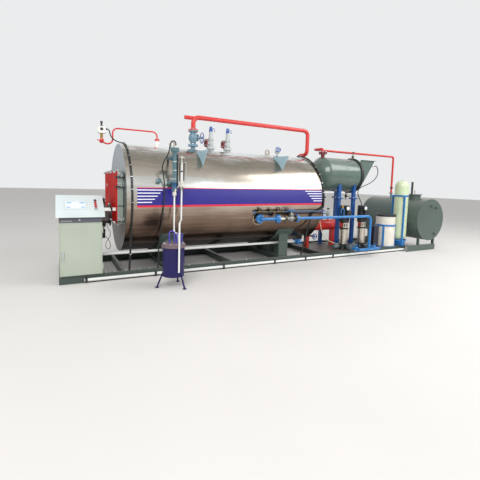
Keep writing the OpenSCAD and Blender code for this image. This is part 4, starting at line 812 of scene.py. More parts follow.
bezel = block("screen_bezel", (0.082, 0.122, 0.0003), (0.388, 0.328, 0.012), 0.004)
bpy.ops.object.mode_set(mode="EDIT")
bpy.ops.mesh.select_all(action="DESELECT")
bpy.ops.object.mode_set(mode="OBJECT")
for face in bezel.data.polygons:
    face.select = face.normal.z > 0.99 and face.area > 0.01
bpy.ops.object.mode_set(mode="EDIT")
bpy.ops.mesh.inset(thickness=0.014)
bpy.ops.transform.translate(value=(0, 0, -0.003))
bpy.ops.object.mode_set(mode="OBJECT")
dress(carried(bezel, desk), desk_powder, "black_plastic", stands_for=["desk_controls"])
glass = block("screen_glass", (0.102, 0.142, 0.008), (0.368, 0.308, 0.0105), 0.001)
dress(carried(glass, desk), screen_glass, "white_plastic", stands_for=["desk_controls"])
fields = [block("field", (x, s, 0.009), (x + w, s + h, 0.0109), 0.0004)
          for x, s, w, h in ((0.108, 0.262, 0.07, 0.04), (0.292, 0.262, 0.07, 0.04),
                             (0.108, 0.148, 0.05, 0.034), (0.312, 0.148, 0.05, 0.034))]
dress(carried(joined("screen_fields", fields), desk), screen_corner, "white_plastic",
      stands_for=["desk_controls"])

button_s = 0.122
button_rows = [("button_grey", button_grey, [0]), ("buttons_red", button_red, [1, 2, 3]),
               ("button_black", black_nylon, [4])]
for name, finish, rows in button_rows:
    caps = [lathe("cap", [(0, 0), (0.019, 0), (0.019, 0.014), (0.017, 0.0185), (0.010, 0.021), (0, 0.0217)],
                  at=(0.52, button_s + 0.056 * i, 0.0003)) for i in rows]
    dress(carried(joined(name, caps), desk), finish, "black_plastic", stands_for=["desk_controls"])
rings = [lathe("ring", [(0.0195, 0.0003), (0.026, 0.0003), (0.026, 0.004), (0.023, 0.0085), (0.0195, 0.0085),
                        (0.0195, 0.0003)], at=(0.52, button_s + 0.056 * i, 0)) for i in range(5)]
dress(carried(joined("button_rings", rings), desk), gauge_bright, "black_plastic",
      stands_for=["desk_controls"])
print("screen and", len(rings), "buttons on the desk")

# %% [markdown]
# Below the desk runs a dark grey band with a round lock and a small steel plate, and the door has a flush
# silver swing handle at its left edge. The handle is part of the door, so it rides on the door's body.

# %% Band, lock and door handle
band = block("console_band", (-0.9395, -0.752, 0.955), (-0.3405, -0.7303, 1.0355), 0.003)
dress(band, band_powder, "burner_grey")
lock = joined("band_lock", [
    lathe("lock", knob(0.014, 0.005, 0.010, 0.008), (-0.66, -0.752, 0.995), near_y),
    block("slot", (-0.6615, -0.7612, 0.988), (-0.6585, -0.7595, 1.002), 0.0005)])
dress(lock, gauge_bright, "galvanised")
dress(block("band_plate", (-0.915, -0.7535, 0.965), (-0.765, -0.7518, 0.99), 0.0006), bare_cast_steel,
      "galvanised")
handle_plate = block("plate", (-0.908, -0.7605, 0.345), (-0.870, -0.7563, 0.515), 0.002)
dress(handle_plate, console_powder, "console_paint", body="console_door")
handle_bar = block("bar", (-0.903, -0.7765, 0.440), (-0.875, -0.7600, 0.512), 0.005)
handle_hub = lathe("hub", knob(0.012, 0.014, 0.009, 0.017), (-0.889, -0.7598, 0.420), near_y)
dress(joined("door_handle", [handle_bar, handle_hub]), gauge_bright, "galvanised", body="console_door")
rail_corners = ((-0.934, 0.140, -0.922, 0.950), (-0.350, 0.140, -0.338, 0.950),
                (-0.922, 0.140, -0.350, 0.152), (-0.922, 0.938, -0.350, 0.950))
door_rail = joined("door_edge_rails", [
    block("rail", (x0, -0.7605, z0), (x1, -0.7563, z1), 0.0015) for x0, z0, x1, z1 in rail_corners])
dress(door_rail, console_powder, "console_paint", body="console_door")
print("console face done")

# %% [markdown]
# ## The main steam valve
# A globe valve: a flanged, pear-shaped body with its bonnet turned to the side, a yoke of two arms, a
# bright spindle and a blue handwheel. The CAD has its plain drum, so the real body, with its belly and
# its necks, is turned on the lathe and stands for it. The wheel is a body of its own and stays as it is.

# %% Main valve body
main_body = lathe("body", [
    (0.0, 2.235), (0.0445, 2.235), (0.0445, 2.316), (0.05, 2.32), (0.095, 2.32), (0.095, 2.36),
    (0.062, 2.361), (0.05, 2.375), (0.056, 2.40), (0.082, 2.44), (0.09, 2.485), (0.082, 2.53), (0.06, 2.57),
    (0.052, 2.595), (0.062, 2.609), (0.095, 2.61), (0.095, 2.63), (0.0, 2.63)], (steam_x, 0, 0), steps=40)
bonnet = lathe("bonnet", [
    (0.0, 0.04), (0.052, 0.04), (0.052, 0.082), (0.066, 0.084), (0.066, 0.099), (0.044, 0.101),
    (0.034, 0.112), (0.026, 0.13), (0.026, 0.142), (0.0, 0.142)], (steam_x, 0, 2.5), back_x)
yoke = [block("arm", (steam_x + 0.096, y - 0.006, 2.488), (steam_x + 0.160, y + 0.006, 2.512), 0.002)
        for y in (-0.040, 0.040)]
yoke.append(block("bridge", (steam_x + 0.152, -0.046, 2.487), (steam_x + 0.166, 0.046, 2.513), 0.003))
dress(joined("main_valve_body", [main_body, bonnet] + yoke), grey_blue_enamel, "valve_blue_grey",
      stands_for=["steam_valve"])
spindle = lathe("main_valve_spindle", drum(0.011, 0.14, 0.1727), (steam_x, 0, 2.5), back_x)
dress(spindle, spindle_steel, "valve_blue_grey", stands_for=["steam_valve"])
dress(repeat("bonnet_nuts", nut(0.015), ring((steam_x + 0.099, 0, 2.5), back_x, 0.115, 6)), zinc,
      "galvanised")
cap_nut = lathe("main_wheel_nut", knob(0.015, 0.022, 0.011, 0.026, low=0.0125), (1.6, 0, 2.5), back_x,
                steps=6)
dress(cap_nut, zinc, "galvanised", body="steam_wheel")
print("main valve made")

# %% [markdown]
# ## Safety valves
# Each of the two spring safety valves is a grey casting with a closed spring bonnet that narrows to a
# blue cap. Its outlet looks to the burner end and ends in a dark red flange. The valve is turned once with
# its neck at the origin, in four finishes, and then copied to both necks.

# %% Safety valve pieces
neck_z = 2.26
valve_pieces = {
    "safety_valve_bodies": (cast_body, "valve_blue", [
        lathe("foot", [(0, -0.01), (0.038, -0.01), (0.038, 0.036), (0.044, 0.04), (0.0825, 0.04),
                       (0.0825, 0.079), (0.048, 0.082), (0.04, 0.095), (0.05, 0.12), (0.058, 0.15),
                       (0.05, 0.185), (0.05, 0.205), (0.065, 0.208), (0.065, 0.226), (0.0, 0.226)]),
        lathe("outlet", [(0, 0), (0.038, 0), (0.034, 0.07), (0.038, 0.093), (0, 0.093)], (0, 0, 0.15),
              front_x)]),
    "safety_valve_bonnets": (cast_body, "valve_blue", [
        lathe("bonnet", [(0, 0.2262), (0.05, 0.2262), (0.05, 0.25), (0.042, 0.262), (0.037, 0.36),
                         (0.036, 0.385), (0.0, 0.385)])]),
    "safety_valve_caps": (blue_valve_enamel, "valve_blue", [
        lathe("cap", [(0, 0.3853), (0.04, 0.3853), (0.04, 0.41), (0.034, 0.418), (0.031, 0.46),
                      (0.027, 0.478), (0.014, 0.486), (0, 0.486)]),
        pipe("lever", [(0.030, 0, 0.44), (0.075, 0, 0.452), (0.085, 0, 0.38)], 0.012, 0.012, 10)]),
    "safety_outlet_flanges": (dark_red_enamel, "valve_blue", [
        lathe("flange", [(0.0, 0.0932), (0.08, 0.0932), (0.08, 0.115), (0.03, 0.1152), (0.03, 0.104),
                         (0, 0.104)], (0, 0, 0.15), front_x)]),
    "safety_valve_nuts": (zinc, "galvanised", [
        repeat("nuts", nut(0.02), ring((0, 0, 0.0795), up_z, 0.132, 8, 0.39)
               + ring((0, 0, 0.04), down_z, 0.132, 8, 0.39)
               + ring((-0.115, 0, 0.15), front_x, 0.126, 4, 0.78)
               + ring((0, 0, 0.226), up_z, 0.112, 6))]),
}
for name, (finish, slot, pieces) in valve_pieces.items():
    stands = ["safety_valves"] if slot == "valve_blue" else ()
    dress(repeat(name, joined(name, pieces), [Matrix.Translation((x, 0, neck_z)) for x in (1.79, 2.165)]),
          finish, slot, stands_for=stands)
print("two safety valves in", len(valve_pieces), "finishes")

# %% [markdown]
# ## The smoke box's near side
# The box is held shut by galvanised hinge clamps at three heights: a plate that is bolted to the box, a
# knuckle, and a black drop bolt that reaches over the red cover. A black rope seal runs down behind them,
# in the joint with the front plate, where its black is also painted shadow of that joint, and a flat bar
# ties the middle. One clamp is built at the origin's height and copied to the three places.

# %% Hinge clamps and rope seal
clamp_plate = joined("clamp", [
    block("plate", (-0.104, -0.764, -0.028), (-0.012, -0.7505, 0.030), 0.002),
    block("lug", (-0.112, -0.792, 0.008), (-0.036, -0.762, 0.020), 0.002),
    block("lug", (-0.112, -0.792, -0.020), (-0.036, -0.762, -0.008), 0.002),
    lathe("knuckle", drum(0.013, -0.034, 0.034), (-0.05, -0.782, 0), steps=16)])
hinge_heights = (1.70, 1.545, 0.99)
hinge_places = [Matrix.Translation((0, 0, z)) for z in hinge_heights]
dress(repeat("hinge_clamps", clamp_plate, hinge_places), galvanised, "galvanised")
drop_bolt = joined("bolt", [
    lathe("rod", drum(0.009, -0.150, -0.006), (0, -0.778, -0.034), back_x, steps=12),
    block("cam", (-0.148, -0.790, -0.046), (-0.128, -0.735, -0.020), 0.003)])
dress(repeat("drop_bolts", drop_bolt, hinge_places), black_iron, "black_plastic")
hinge_bolts = spots(near_y, [(x, -0.764, z + dz) for x in (-0.092, -0.024) for z in hinge_heights
                             for dz in (-0.021, 0.023)])
dress(repeat("hinge_bolts", nut(0.012), hinge_bolts), zinc, "galvanised")
# The rope seal's black down the joint with the front plate is also painted shadow of that joint
seal_and_joint_shadow = joined("rope_seal_and_joint_shadow", [
    pipe("seal_and_joint_shadow", [(-0.016, -0.760, 1.51), (-0.016, -0.760, 1.03)], 0.013, sides=12),
    pipe("seal_and_joint_shadow", [(-0.058, -0.779, 1.74), (-0.016, -0.774, 1.73), (-0.016, -0.766, 1.60)], 0.012, 0.02, 12),
    block("tie", (-0.108, -0.759, 1.200), (-0.012, -0.7505, 1.212), 0.002)])
dress(seal_and_joint_shadow, black_nylon, "black_plastic")
peephole = lathe("peephole_plug", [(0, 0), (0.03, 0), (0.03, 0.006), (0.022, 0.010), (0.022, 0.016),
                                   (0, 0.018)], (-0.1263, 0.36, 1.52), front_x, steps=24)
dress(peephole, gauge_bright, "galvanised")
print(len(hinge_heights), "hinge clamps")

# %% [markdown]
# ## Burner
# The burner is a cast fan housing on a flange, with a finned motor before it, a flat control box on its
# top, an air damper's box on its near side, and the gas valve block under it. The CAD's plain drums stay
# inside the castings, and the ribs, fins, boxes and bolts are added round them.

# %% Burner castings and motor fins
burner_z = 1.01
housing = joined("burner_housing_ribs", [
    lathe("rib", hoop(0.2195, 0.2275, a, b), (0, 0, burner_z), front_x, steps=64)
    for a, b in ((0.217, 0.230), (0.300, 0.307), (0.412, 0.425))] + [
    block("damper", (-0.360, -0.262, burner_z - 0.100), (-0.175, -0.155, burner_z + 0.110), 0.008),
    block("foot", (-0.390, -0.10, burner_z - 0.262), (-0.235, 0.10, burner_z - 0.21), 0.006)])
dress(housing, burner_iron, "burner_grey")
fins = [lathe("fin", hoop(0.0945, 0.112, a, a + 0.003), (0, 0, burner_z), front_x,
              steps=40) for a in [0.442 + 0.0135 * i for i in range(10)]]
fins.append(lathe("cowl", [(0.0955, 0.582), (0.109, 0.582), (0.109, 0.622), (0.101, 0.628), (0.03, 0.6285),
                           (0.03, 0.6262), (0.0955, 0.6262),
                           (0.0955, 0.582)], (0, 0, burner_z), front_x, steps=40))
fins.append(block("terminal", (-0.545, -0.05, burner_z + 0.100), (-0.455, 0.05, burner_z + 0.150), 0.005))
dress(joined("burner_motor_fins", fins), burner_iron, "burner_grey")
control_box = joined("burner_control_box", [
    block("box", (-0.405, -0.10, burner_z + 0.205), (-0.225, 0.10, burner_z + 0.285), 0.006),
    block("ledge", (-0.320, -0.245, burner_z - 0.135), (-0.150, -0.120, burner_z - 0.105), 0.004)])
dress(control_box, black_nylon, "black_plastic")
reset = lathe("burner_reset", knob(0.014, 0.006, 0.011, 0.010), (-0.33, -0.04, burner_z + 0.2852), up_z,
              steps=20)
dress(reset, button_red, "red_paint")
burner_bolts = (ring((-0.14, 0, burner_z), front_x, 0.38, 8, 0.39)
                + ring((-0.426, 0, burner_z), front_x, 0.39, 10))
dress(repeat("burner_bolts", nut(0.016), burner_bolts), zinc, "galvanised")
trunk_clip = joined("trunk_clip", [
    pipe("handle", [(-0.215, -0.716, 1.232), (-0.212, -0.722, 1.175), (-0.172, -0.718, 1.120)], 0.015, 0.03,
         12),
    block("saddle", (-0.203, -0.7125, 1.120), (-0.180, -0.7055, 1.180), 0.002)])
dress(trunk_clip, black_nylon, "black_plastic")
trunk_plug = lathe("trunk_plug", knob(0.013, 0.022, 0.009, 0.026), (-0.168, -0.7055, 1.140), near_y,
                   steps=16)
dress(trunk_plug, cap_white, "white_plastic")
gas_trims = joined("gas_valve_trims", [
    block("coil", (-0.322, -0.092, 0.700), (-0.242, -0.0553, 0.765), 0.005),
    block("coil", (-0.322, -0.092, 0.612), (-0.242, -0.0553, 0.680), 0.005),
    lathe("cap", knob(0.022, 0.02, 0.016, 0.028), (-0.276, 0, 0.59), down_z, steps=24),
    lathe("gland", drum(0.011, 0, 0.018), (-0.225, -0.0925, 0.735), near_y, steps=12)])
dress(gas_trims, black_iron, "black_plastic")
print("burner has", len(fins), "motor pieces and", len(burner_bolts), "bolts")

# %% [markdown]
# ## Level column
# The float chamber is a length of teal tube between two caps. It hangs on two flanged nozzles, its head
# is a bolted pair of flanges, and a strip of small dark flags down its side shows the level. Its foot has
# a dark blue collar and an ivory drain cock. A capped fitting of the same teal paint sits beside it on
# the shell.

# %% Level column
column = [lathe("chamber", [
    (0, 1.468), (0.05, 1.468), (0.053, 1.472), (0.053, 1.480), (0.041, 1.486), (0.038, 1.492),
    (0.038, 2.085), (0.043, 2.094), (0.068, 2.098), (0.070, 2.101), (0.070, 2.124), (0.066, 2.1275),
    (0.066, 2.1305), (0.070, 2.134), (0.070, 2.158), (0.067, 2.162),
    (0, 2.162)], (column_x, column_y, 0), steps=40)]
for z, reach in ((2.0, 0.405), (1.6, 0.150)):
    column.append(lathe("nozzle", [
        (0, 0.02), (0.017, 0.02), (0.017, 0.076), (0.044, 0.079), (0.045, 0.080), (0.045, 0.0895),
        (0.041, 0.0903), (0.045, 0.0911), (0.045, 0.1015), (0.017, 0.104), (0.017, reach),
        (0, reach)], (column_x, column_y, z), (0, 1, 0), steps=32))
column.append(lathe("fitting", [
    (0, 0.0), (0.030, 0.0), (0.030, 0.012), (0.044, 0.014), (0.046, 0.018), (0.046, 0.030), (0.026, 0.034),
    (0.024, 0.052), (0.030, 0.060), (0.030, 0.078), (0.022, 0.086),
    (0, 0.086)], (0.5, -0.885, 1.62), near_y, steps=32))
column.append(lathe("fitting_cap", drum(0.024, -0.034, 0.034), (0.5, -0.955, 1.62), back_x, steps=8))
for z in (2.0, 1.6):
    column.append(lathe("nozzle_valve", [(0, 0.012), (0.030, 0.012), (0.034, 0.030), (0.026, 0.052),
                                         (0.032, 0.056), (0.032, 0.068), (0.012, 0.072), (0.012, 0.100),
                                         (0.028, 0.102), (0.028, 0.114), (0, 0.114)], (column_x, -0.992, z),
                        front_x, steps=24))
dress(joined("level_column", column), teal_enamel, "teal_paint", stands_for=["water_column"])
collar = lathe("column_collar", [(0.0383, 1.50), (0.046, 1.50), (0.046, 1.515), (0.0425, 1.52),
                                 (0.0425, 1.585), (0.046, 1.59), (0.046, 1.605), (0.0383, 1.605),
                                 (0.0383, 1.50)], (column_x, column_y, 0), steps=36)
dress(collar, line_enamel, "teal_paint")
flag_rail = joined("level_flags", [block("rail", (0.760, -1.092, 1.54), (0.778, -1.078, 2.05), 0.002)] + [
    block("flag", (0.762, -1.0965, 1.552 + 0.036 * i), (0.776, -1.0915, 1.570 + 0.036 * i), 0.001)
    for i in range(14)])
dress(flag_rail, black_nylon, "black_plastic")
clips = [lathe("clip", hoop(0.0382, 0.042, -0.008, 0.008), (column_x, column_y, z),
               steps=32) for z in (1.66, 1.80, 1.94)]
dress(joined("column_clips", clips), gauge_bright, "gauge_steel")
foot_cock = joined("column_foot_cock", [
    lathe("cock", [(0.0145, 1.385), (0.022, 1.385), (0.030, 1.398), (0.033, 1.420), (0.030, 1.442),
                   (0.022, 1.455), (0.022, 1.4655), (0.0145, 1.4655),
                   (0.0145, 1.385)], (column_x, column_y, 0), steps=28),
    lathe("stem", drum(0.010, 0.026, 0.052), (column_x, column_y, 1.42), near_y, steps=12),
    block("lever", (column_x - 0.009, column_y - 0.060, 1.408), (column_x + 0.009, column_y - 0.050, 1.505),
          0.003)])
dress(foot_cock, ivory_fitting, "gauge_steel")
print("level column made with", len(column), "turned pieces")

# %% [markdown]
# ## Gauge glass
# The glass stands between two ivory cocks. Two dark rods and a bright guard on each side protect it, and
# a black float mark sits half way up. It replaces the CAD's plain rods, in the same place.

# %% Gauge glass and guard
glass_x = 0.85
gauge = [lathe("lower", [(0, 1.50), (0.0135, 1.50), (0.0135, 1.503), (0.024, 1.506), (0.026, 1.512),
                         (0.026, 1.556), (0.020, 1.562), (0.020, 1.590), (0.029, 1.594), (0.029, 1.618),
                         (0.022, 1.624), (0.022, 1.648), (0, 1.648)], (glass_x, column_y, 0), steps=28),
         lathe("upper", [(0, 1.915), (0.022, 1.915), (0.022, 1.938), (0.029, 1.943), (0.029, 1.964),
                         (0.022, 1.970), (0.024, 1.976), (0.026, 1.982), (0.026, 2.020), (0.020, 2.026),
                         (0.020, 2.030), (0, 2.030)], (glass_x, column_y, 0), steps=28)]
for z in (1.53, 2.0):
    gauge.append(lathe("arm", [(0, 0.002), (0.012, 0.002), (0.012, 0.032), (0.019, 0.034), (0.019, 0.056),
                               (0.012, 0.058), (0.012, 0.078),
                               (0, 0.078)], (column_x + 0.0385, column_y, z), back_x, steps=20))
    gauge.append(lathe("neck", [(0, 0.01), (0.016, 0.01), (0.016, 0.036), (0.021, 0.038), (0.021, 0.052),
                                (0, 0.052)], (glass_x, column_y, z), near_y, steps=20))
dress(joined("gauge_cocks", gauge), ivory_fitting, "gauge_steel", stands_for=["gauge_glass"])
tube = lathe("gauge_tube", drum(0.013, 1.640, 1.922), (glass_x, column_y, 0), steps=28)
dress(tube, cap_white, "gauge_steel", stands_for=["gauge_glass"])
dark_rods = [lathe("rod", drum(0.0085, 1.622, 1.944), (glass_x + s * 0.036, column_y, 0), steps=14)
             for s in (-1, 1)]
dark_rods.append(lathe("mark", hoop(0.0132, 0.0145, 1.776, 1.800), (glass_x, column_y, 0), steps=24))
dress(joined("gauge_rods", dark_rods), black_nylon, "gauge_steel", stands_for=["gauge_glass"])
guard = [lathe("guard", drum(0.0045, 1.630, 1.936), (glass_x + s * 0.070, column_y, 0), steps=12)
         for s in (-1, 1)]
guard += [block("bar", (glass_x - 0.0755, column_y - 0.010, z),
                (glass_x + 0.0755, column_y + 0.010, z + 0.008), 0.0015) for z in (1.628, 1.930)]
dress(joined("gauge_guard", guard), gauge_bright, "gauge_steel", stands_for=["gauge_glass"])
levers = [block("lever", (glass_x - 0.007, column_y - 0.062, z - 0.072),
                (glass_x + 0.007, column_y - 0.052, z + 0.012), 0.002)
          for z in (1.53, 2.0)]
levers += [block("lever", (0.800, column_y - 0.044, z - 0.060), (0.814, column_y - 0.034, z + 0.012), 0.002)
           for z in (1.53, 2.0)]
levers += [lathe("stem", drum(0.008, 0.010, 0.035), (0.807, column_y, z), near_y, steps=12)
           for z in (1.53, 2.0)]
dress(joined("gauge_levers", levers), black_nylon, "black_plastic")
print("gauge glass made")

# %% Cable gland on the column
column_gland = lathe("column_gland", [
    (0.0105, 2.1625), (0.0215, 2.1625), (0.0215, 2.176), (0.0185, 2.178), (0.0185, 2.187), (0.0145, 2.194),
    (0.0105, 2.194), (0.0105, 2.1625)], (0.745, column_y, 0), steps=24)
dress(column_gland, white_abs, "white_plastic")
print("column gland made")

# %% [markdown]
# ## Siphon and pressure switch
# The red siphon ends in a tilted red cock with its lever and a brass tee that carries a white pressure
# switch. The switch is a moulded box with a lid that is held by four screws, a small dial window, and a
# black gland.

# %% Siphon cock and tee
tee = [lathe("tee", [(0, -0.036), (0.021, -0.036), (0.024, -0.030), (0.024, 0.030), (0.021, 0.036),
                     (0, 0.036)], (-0.262, 0, 2.385), steps=6)]
tee.append(lathe("union", knob(0.022, 0.026, 0.018, 0.032), (-0.262, 0, 2.325), steps=6))
dress(joined("siphon_tee", tee), brass, "red_paint")
cock = [lathe("plug", [(0, -0.04), (0.024, -0.04), (0.034, -0.02), (0.034, 0.02), (0.024, 0.04), (0, 0.04)],
              (-0.262, 0, 2.296), (0.35, 0, 1), steps=24),
        lathe("stem", drum(0.012, 0, 0.06), (-0.262, 0, 2.296), near_y, steps=12),
        block("lever", (-0.345, -0.068, 2.288), (-0.25, -0.056, 2.304), 0.003)]
dress(joined("siphon_cock", cock), red_enamel, "red_paint")
foot = lathe("siphon_foot_valve", [
    (0.0, 2.2602), (0.026, 2.2602), (0.026, 2.282), (0.021, 2.288), (0.033, 2.305), (0.036, 2.32),
    (0.033, 2.335), (0.021, 2.352), (0.03, 2.358), (0.03, 2.3715), (0.0, 2.3715)], (0.705, 0, 0), steps=28)
foot_stem = lathe("stem", [(0, 0), (0.011, 0), (0.011, 0.06), (0.022, 0.062), (0.022, 0.074), (0, 0.074)],
                  (0.705, 0, 2.32), near_y, steps=18)
dress(joined("siphon_foot_valve", [foot, foot_stem]), white_abs, "white_plastic")

# %% Pressure switch
switch_lid = block("lid", (-0.331, -0.058, 2.426), (-0.199, -0.0503, 2.534), 0.003)
screws = repeat("screws", lathe("screw", knob(0.005, 0.002, 0.003, 0.0035), steps=12),
                spots(near_y, [(x, -0.058, z) for x in (-0.321, -0.209) for z in (2.436, 2.524)]))
dress(switch_lid, white_abs, "switch_housing")
dress(screws, zinc, "galvanised")
window = lathe("switch_window", knob(0.026, 0.0035, 0.022, 0.0045), (-0.265, -0.058, 2.49), near_y,
               steps=28)
dress(window, black_nylon, "black_plastic")
top_plug = lathe("switch_top_plug", [
    (0.0, 2.5405), (0.025, 2.5405), (0.025, 2.556), (0.0135, 2.562), (0.0135, 2.59), (0.021, 2.594),
    (0.021, 2.622), (0.015, 2.631), (0, 2.631)], (-0.262, 0, 0), steps=24)
dress(top_plug, black_nylon, "black_plastic")
switch_gland = lathe("switch_gland", [(0.0105, 0.0), (0.017, 0.0), (0.017, 0.012), (0.0135, 0.02),
                                      (0.0105, 0.02), (0.0105, 0)], (-0.1997, -0.02, 2.5), back_x, steps=18)
dress(switch_gland, black_nylon, "black_plastic")
print("switch made")

# %% [markdown]
# ## Feed line
# The feed pipe leaves the shell through a tan ring of sealant, passes a domed check valve and a bare cast
# globe valve, and runs on to the pumps. Above it a thin line with three small valves, bronze at its front
# and dark blue behind them, runs back behind the shell.

# %% Feed line trims
rosette = lathe("shell_ring", [(0.106, -0.03), (0.125, -0.03), (0.125, 0.006), (0.120, 0.012),
                               (0.112, 0.012), (0.106, -0.03)], (feed_x, -0.893, feed_z), near_y, steps=40)
dress(rosette, sealant, "grey_plate")
dome = lathe("check_dome", [(0.029, 0.0), (0.066, 0.0), (0.062, 0.014), (0.048, 0.026), (0.029, 0.030),
                            (0.029, 0.0)], (feed_x + 0.333, feed_y, feed_z), front_x, steps=32)
dress(dome, blue_pipe_enamel, "pipe_blue")
dark_flanges = [lathe("flange", hoop(0.0315, 0.0632, -0.0004, 0.0254), (x, feed_y, feed_z), back_x,
                      steps=36) for x in (feed_x + 0.5250, feed_x + 0.7600)]
dress(joined("feed_dark_flanges", dark_flanges), bronze, "cast_steel")
nipple = lathe("feed_nipple", hoop(0.0212, 0.0225, 0.001, 0.146), (feed_x + 0.378, feed_y, feed_z), back_x,
               steps=24)
dress(nipple, ivory_fitting, "cast_steel")
wheel_nut = lathe("feed_wheel_nut", knob(0.012, 0.02, 0.008, 0.024, low=0.0122),
                  (feed_wheel_x, feed_y, 1.128), up_z, steps=6)
dress(wheel_nut, zinc, "galvanised", body="feed_wheel")
bonnet_bolts = repeat("feed_bonnet_nuts", nut(0.013), ring((feed_wheel_x, feed_y, 1.046), up_z, 0.078, 6))
dress(bonnet_bolts, zinc, "galvanised")
gauge_cock = [lathe("cock", [(0, 1.1495), (0.011, 1.1495), (0.017, 1.156), (0.017, 1.19), (0.011, 1.198),
                             (0.011, 1.222), (0, 1.222)], (4.46, feed_y, 0), steps=6),
              block("tee", (4.425, feed_y - 0.006, 1.196), (4.475, feed_y + 0.006, 1.208), 0.002)]
dress(joined("riser_cock", gauge_cock), brass, "pipe_blue")
bypass_y, bypass_z = -0.985, 1.094


def bypass_run(name, x0, x1):
    """A sleeve of paint or bronze over the thin line between two places along it."""
    return pipe(name, [(x0, bypass_y, bypass_z), (x1, bypass_y, bypass_z)], 0.0265, sides=20)


dress(bypass_run("bypass_line_paint", 2.93, 3.985), line_enamel, "pipe_blue")
sleeves = [bypass_run("sleeve", x0, x1) for x0, x1 in ((2.315, 2.365), (2.475, 2.617), (2.697, 2.783))]
dress(joined("bypass_sleeves", sleeves), bronze, "pipe_blue")
print("feed line trims made")

# %% [markdown]
# ## Small valves
# Nine small valves sit on the lines. The three on the thin line and the vent share one pattern: a turned
# body with hexagon ends and a bonnet, made along +X with its bonnet up and carried to its place. The
# others are turned where they stand. The valves on the thin line and on the economiser are weathered
# bronze, the blowdown valve under the shell is bright blue, and the vent and the header's two are grey
# castings. Together they stand for the CAD's plain ones.

# %% Valve patterns
def valve_body(length, d):
    """A small globe valve along +X from the origin, its bonnet up."""
    ends = [lathe("end", drum(0.85 * d, a, b), along=back_x, steps=6)
            for a, b in ((0, 0.2 * length), (0.8 * length, length))]
    belly = lathe("belly", [(0, 0.05 * length), (0.5 * d, 0.05 * length), (0.52 * d, 0.28 * length),
                            (0.7 * d, 0.4 * length), (0.75 * d, 0.5 * length), (0.7 * d, 0.6 * length),
                            (0.52 * d, 0.72 * length), (0.5 * d, 0.95 * length),
                            (0, 0.95 * length)], along=back_x, steps=24)
    bonnet = lathe("bonnet", [(0, 0), (0.5 * d, 0), (0.44 * d, 0.8 * d), (0.55 * d, 0.84 * d),
                              (0.55 * d, 1.1 * d), (0.22 * d, 1.14 * d), (0.18 * d, 1.7 * d),
                              (0, 1.7 * d)], (length / 2, 0, 0), steps=20)
    return joined("valve", ends + [belly, bonnet])


def handwheel(d, bar, hub):
    """A wheel about +Z at the origin: a round rim, a hub and three spokes."""
    rim = lathe("rim", [(d / 2 + bar / 2 * math.cos(i * math.tau / 8), bar / 2 * math.sin(i * math.tau / 8))
                        for i in range(9)], steps=32)
    middle = lathe("hub", knob(hub / 2, 0.007, hub / 3, 0.011, low=-0.009), steps=16)
    spoke = lathe("spoke", drum(bar * 0.4, hub / 3, d / 2), along=back_x, steps=8)
    spokes = repeat("spokes", spoke, [Matrix.Rotation(i * math.tau / 3, 4, "Z") for i in range(3)])
    return joined("wheel", [rim, middle, spokes])


bronze_valves = [carried(valve_body(length, 0.034), Matrix.Translation((x, bypass_y, bypass_z)))
                 for x, length in ((2.365, 0.11), (2.617, 0.08), (2.783, 0.14))]
dress(joined("bypass_valves", bronze_valves), bronze, "valve_blue", stands_for=["small_valves"])
bypass_tops = joined("bypass_handles", [
    block("lever", (2.826, bypass_y - 0.009, bypass_z + 0.054), (2.918, bypass_y + 0.009, bypass_z + 0.062),
          0.003),
    lathe("grip", [(0, 0), (0.008, 0), (0.008, 0.030), (0, 0.034)], (2.852, bypass_y, bypass_z + 0.058),
          steps=12),
    carried(handwheel(0.06, 0.009, 0.02), Matrix.Translation((2.42, bypass_y, bypass_z + 0.060))),
    lathe("cap", [(0, 0), (0.017, 0), (0.017, 0.010), (0, 0.012)], (2.657, bypass_y, bypass_z + 0.052),
          steps=6)])
dress(bypass_tops, black_iron, "valve_blue", stands_for=["small_valves"])
blowdown = [lathe("body", [(0, 0), (0.048, 0), (0.048, 0.018), (0.030, 0.020), (0.032, 0.045),
                           (0.040, 0.070), (0.032, 0.095), (0.030, 0.120), (0.048, 0.122), (0.048, 0.140),
                           (0, 0.140)], (3.6, -0.5, 0.395), back_x, steps=28),
            lathe("bonnet", [(0, 0.02), (0.027, 0.02), (0.027, 0.056), (0.034, 0.058), (0.034, 0.068),
                             (0.008, 0.070), (0.008, 0.098),
                             (0, 0.098)], (3.67, -0.5, 0.395), near_y, steps=24),
            carried(handwheel(0.11, 0.013, 0.028), turn_to(near_y, (3.67, -0.600, 0.395)))]
dress(joined("blowdown_valve", blowdown), blue_pipe_enamel, "valve_blue", stands_for=["small_valves"])
print("three line valves and the blowdown valve made")

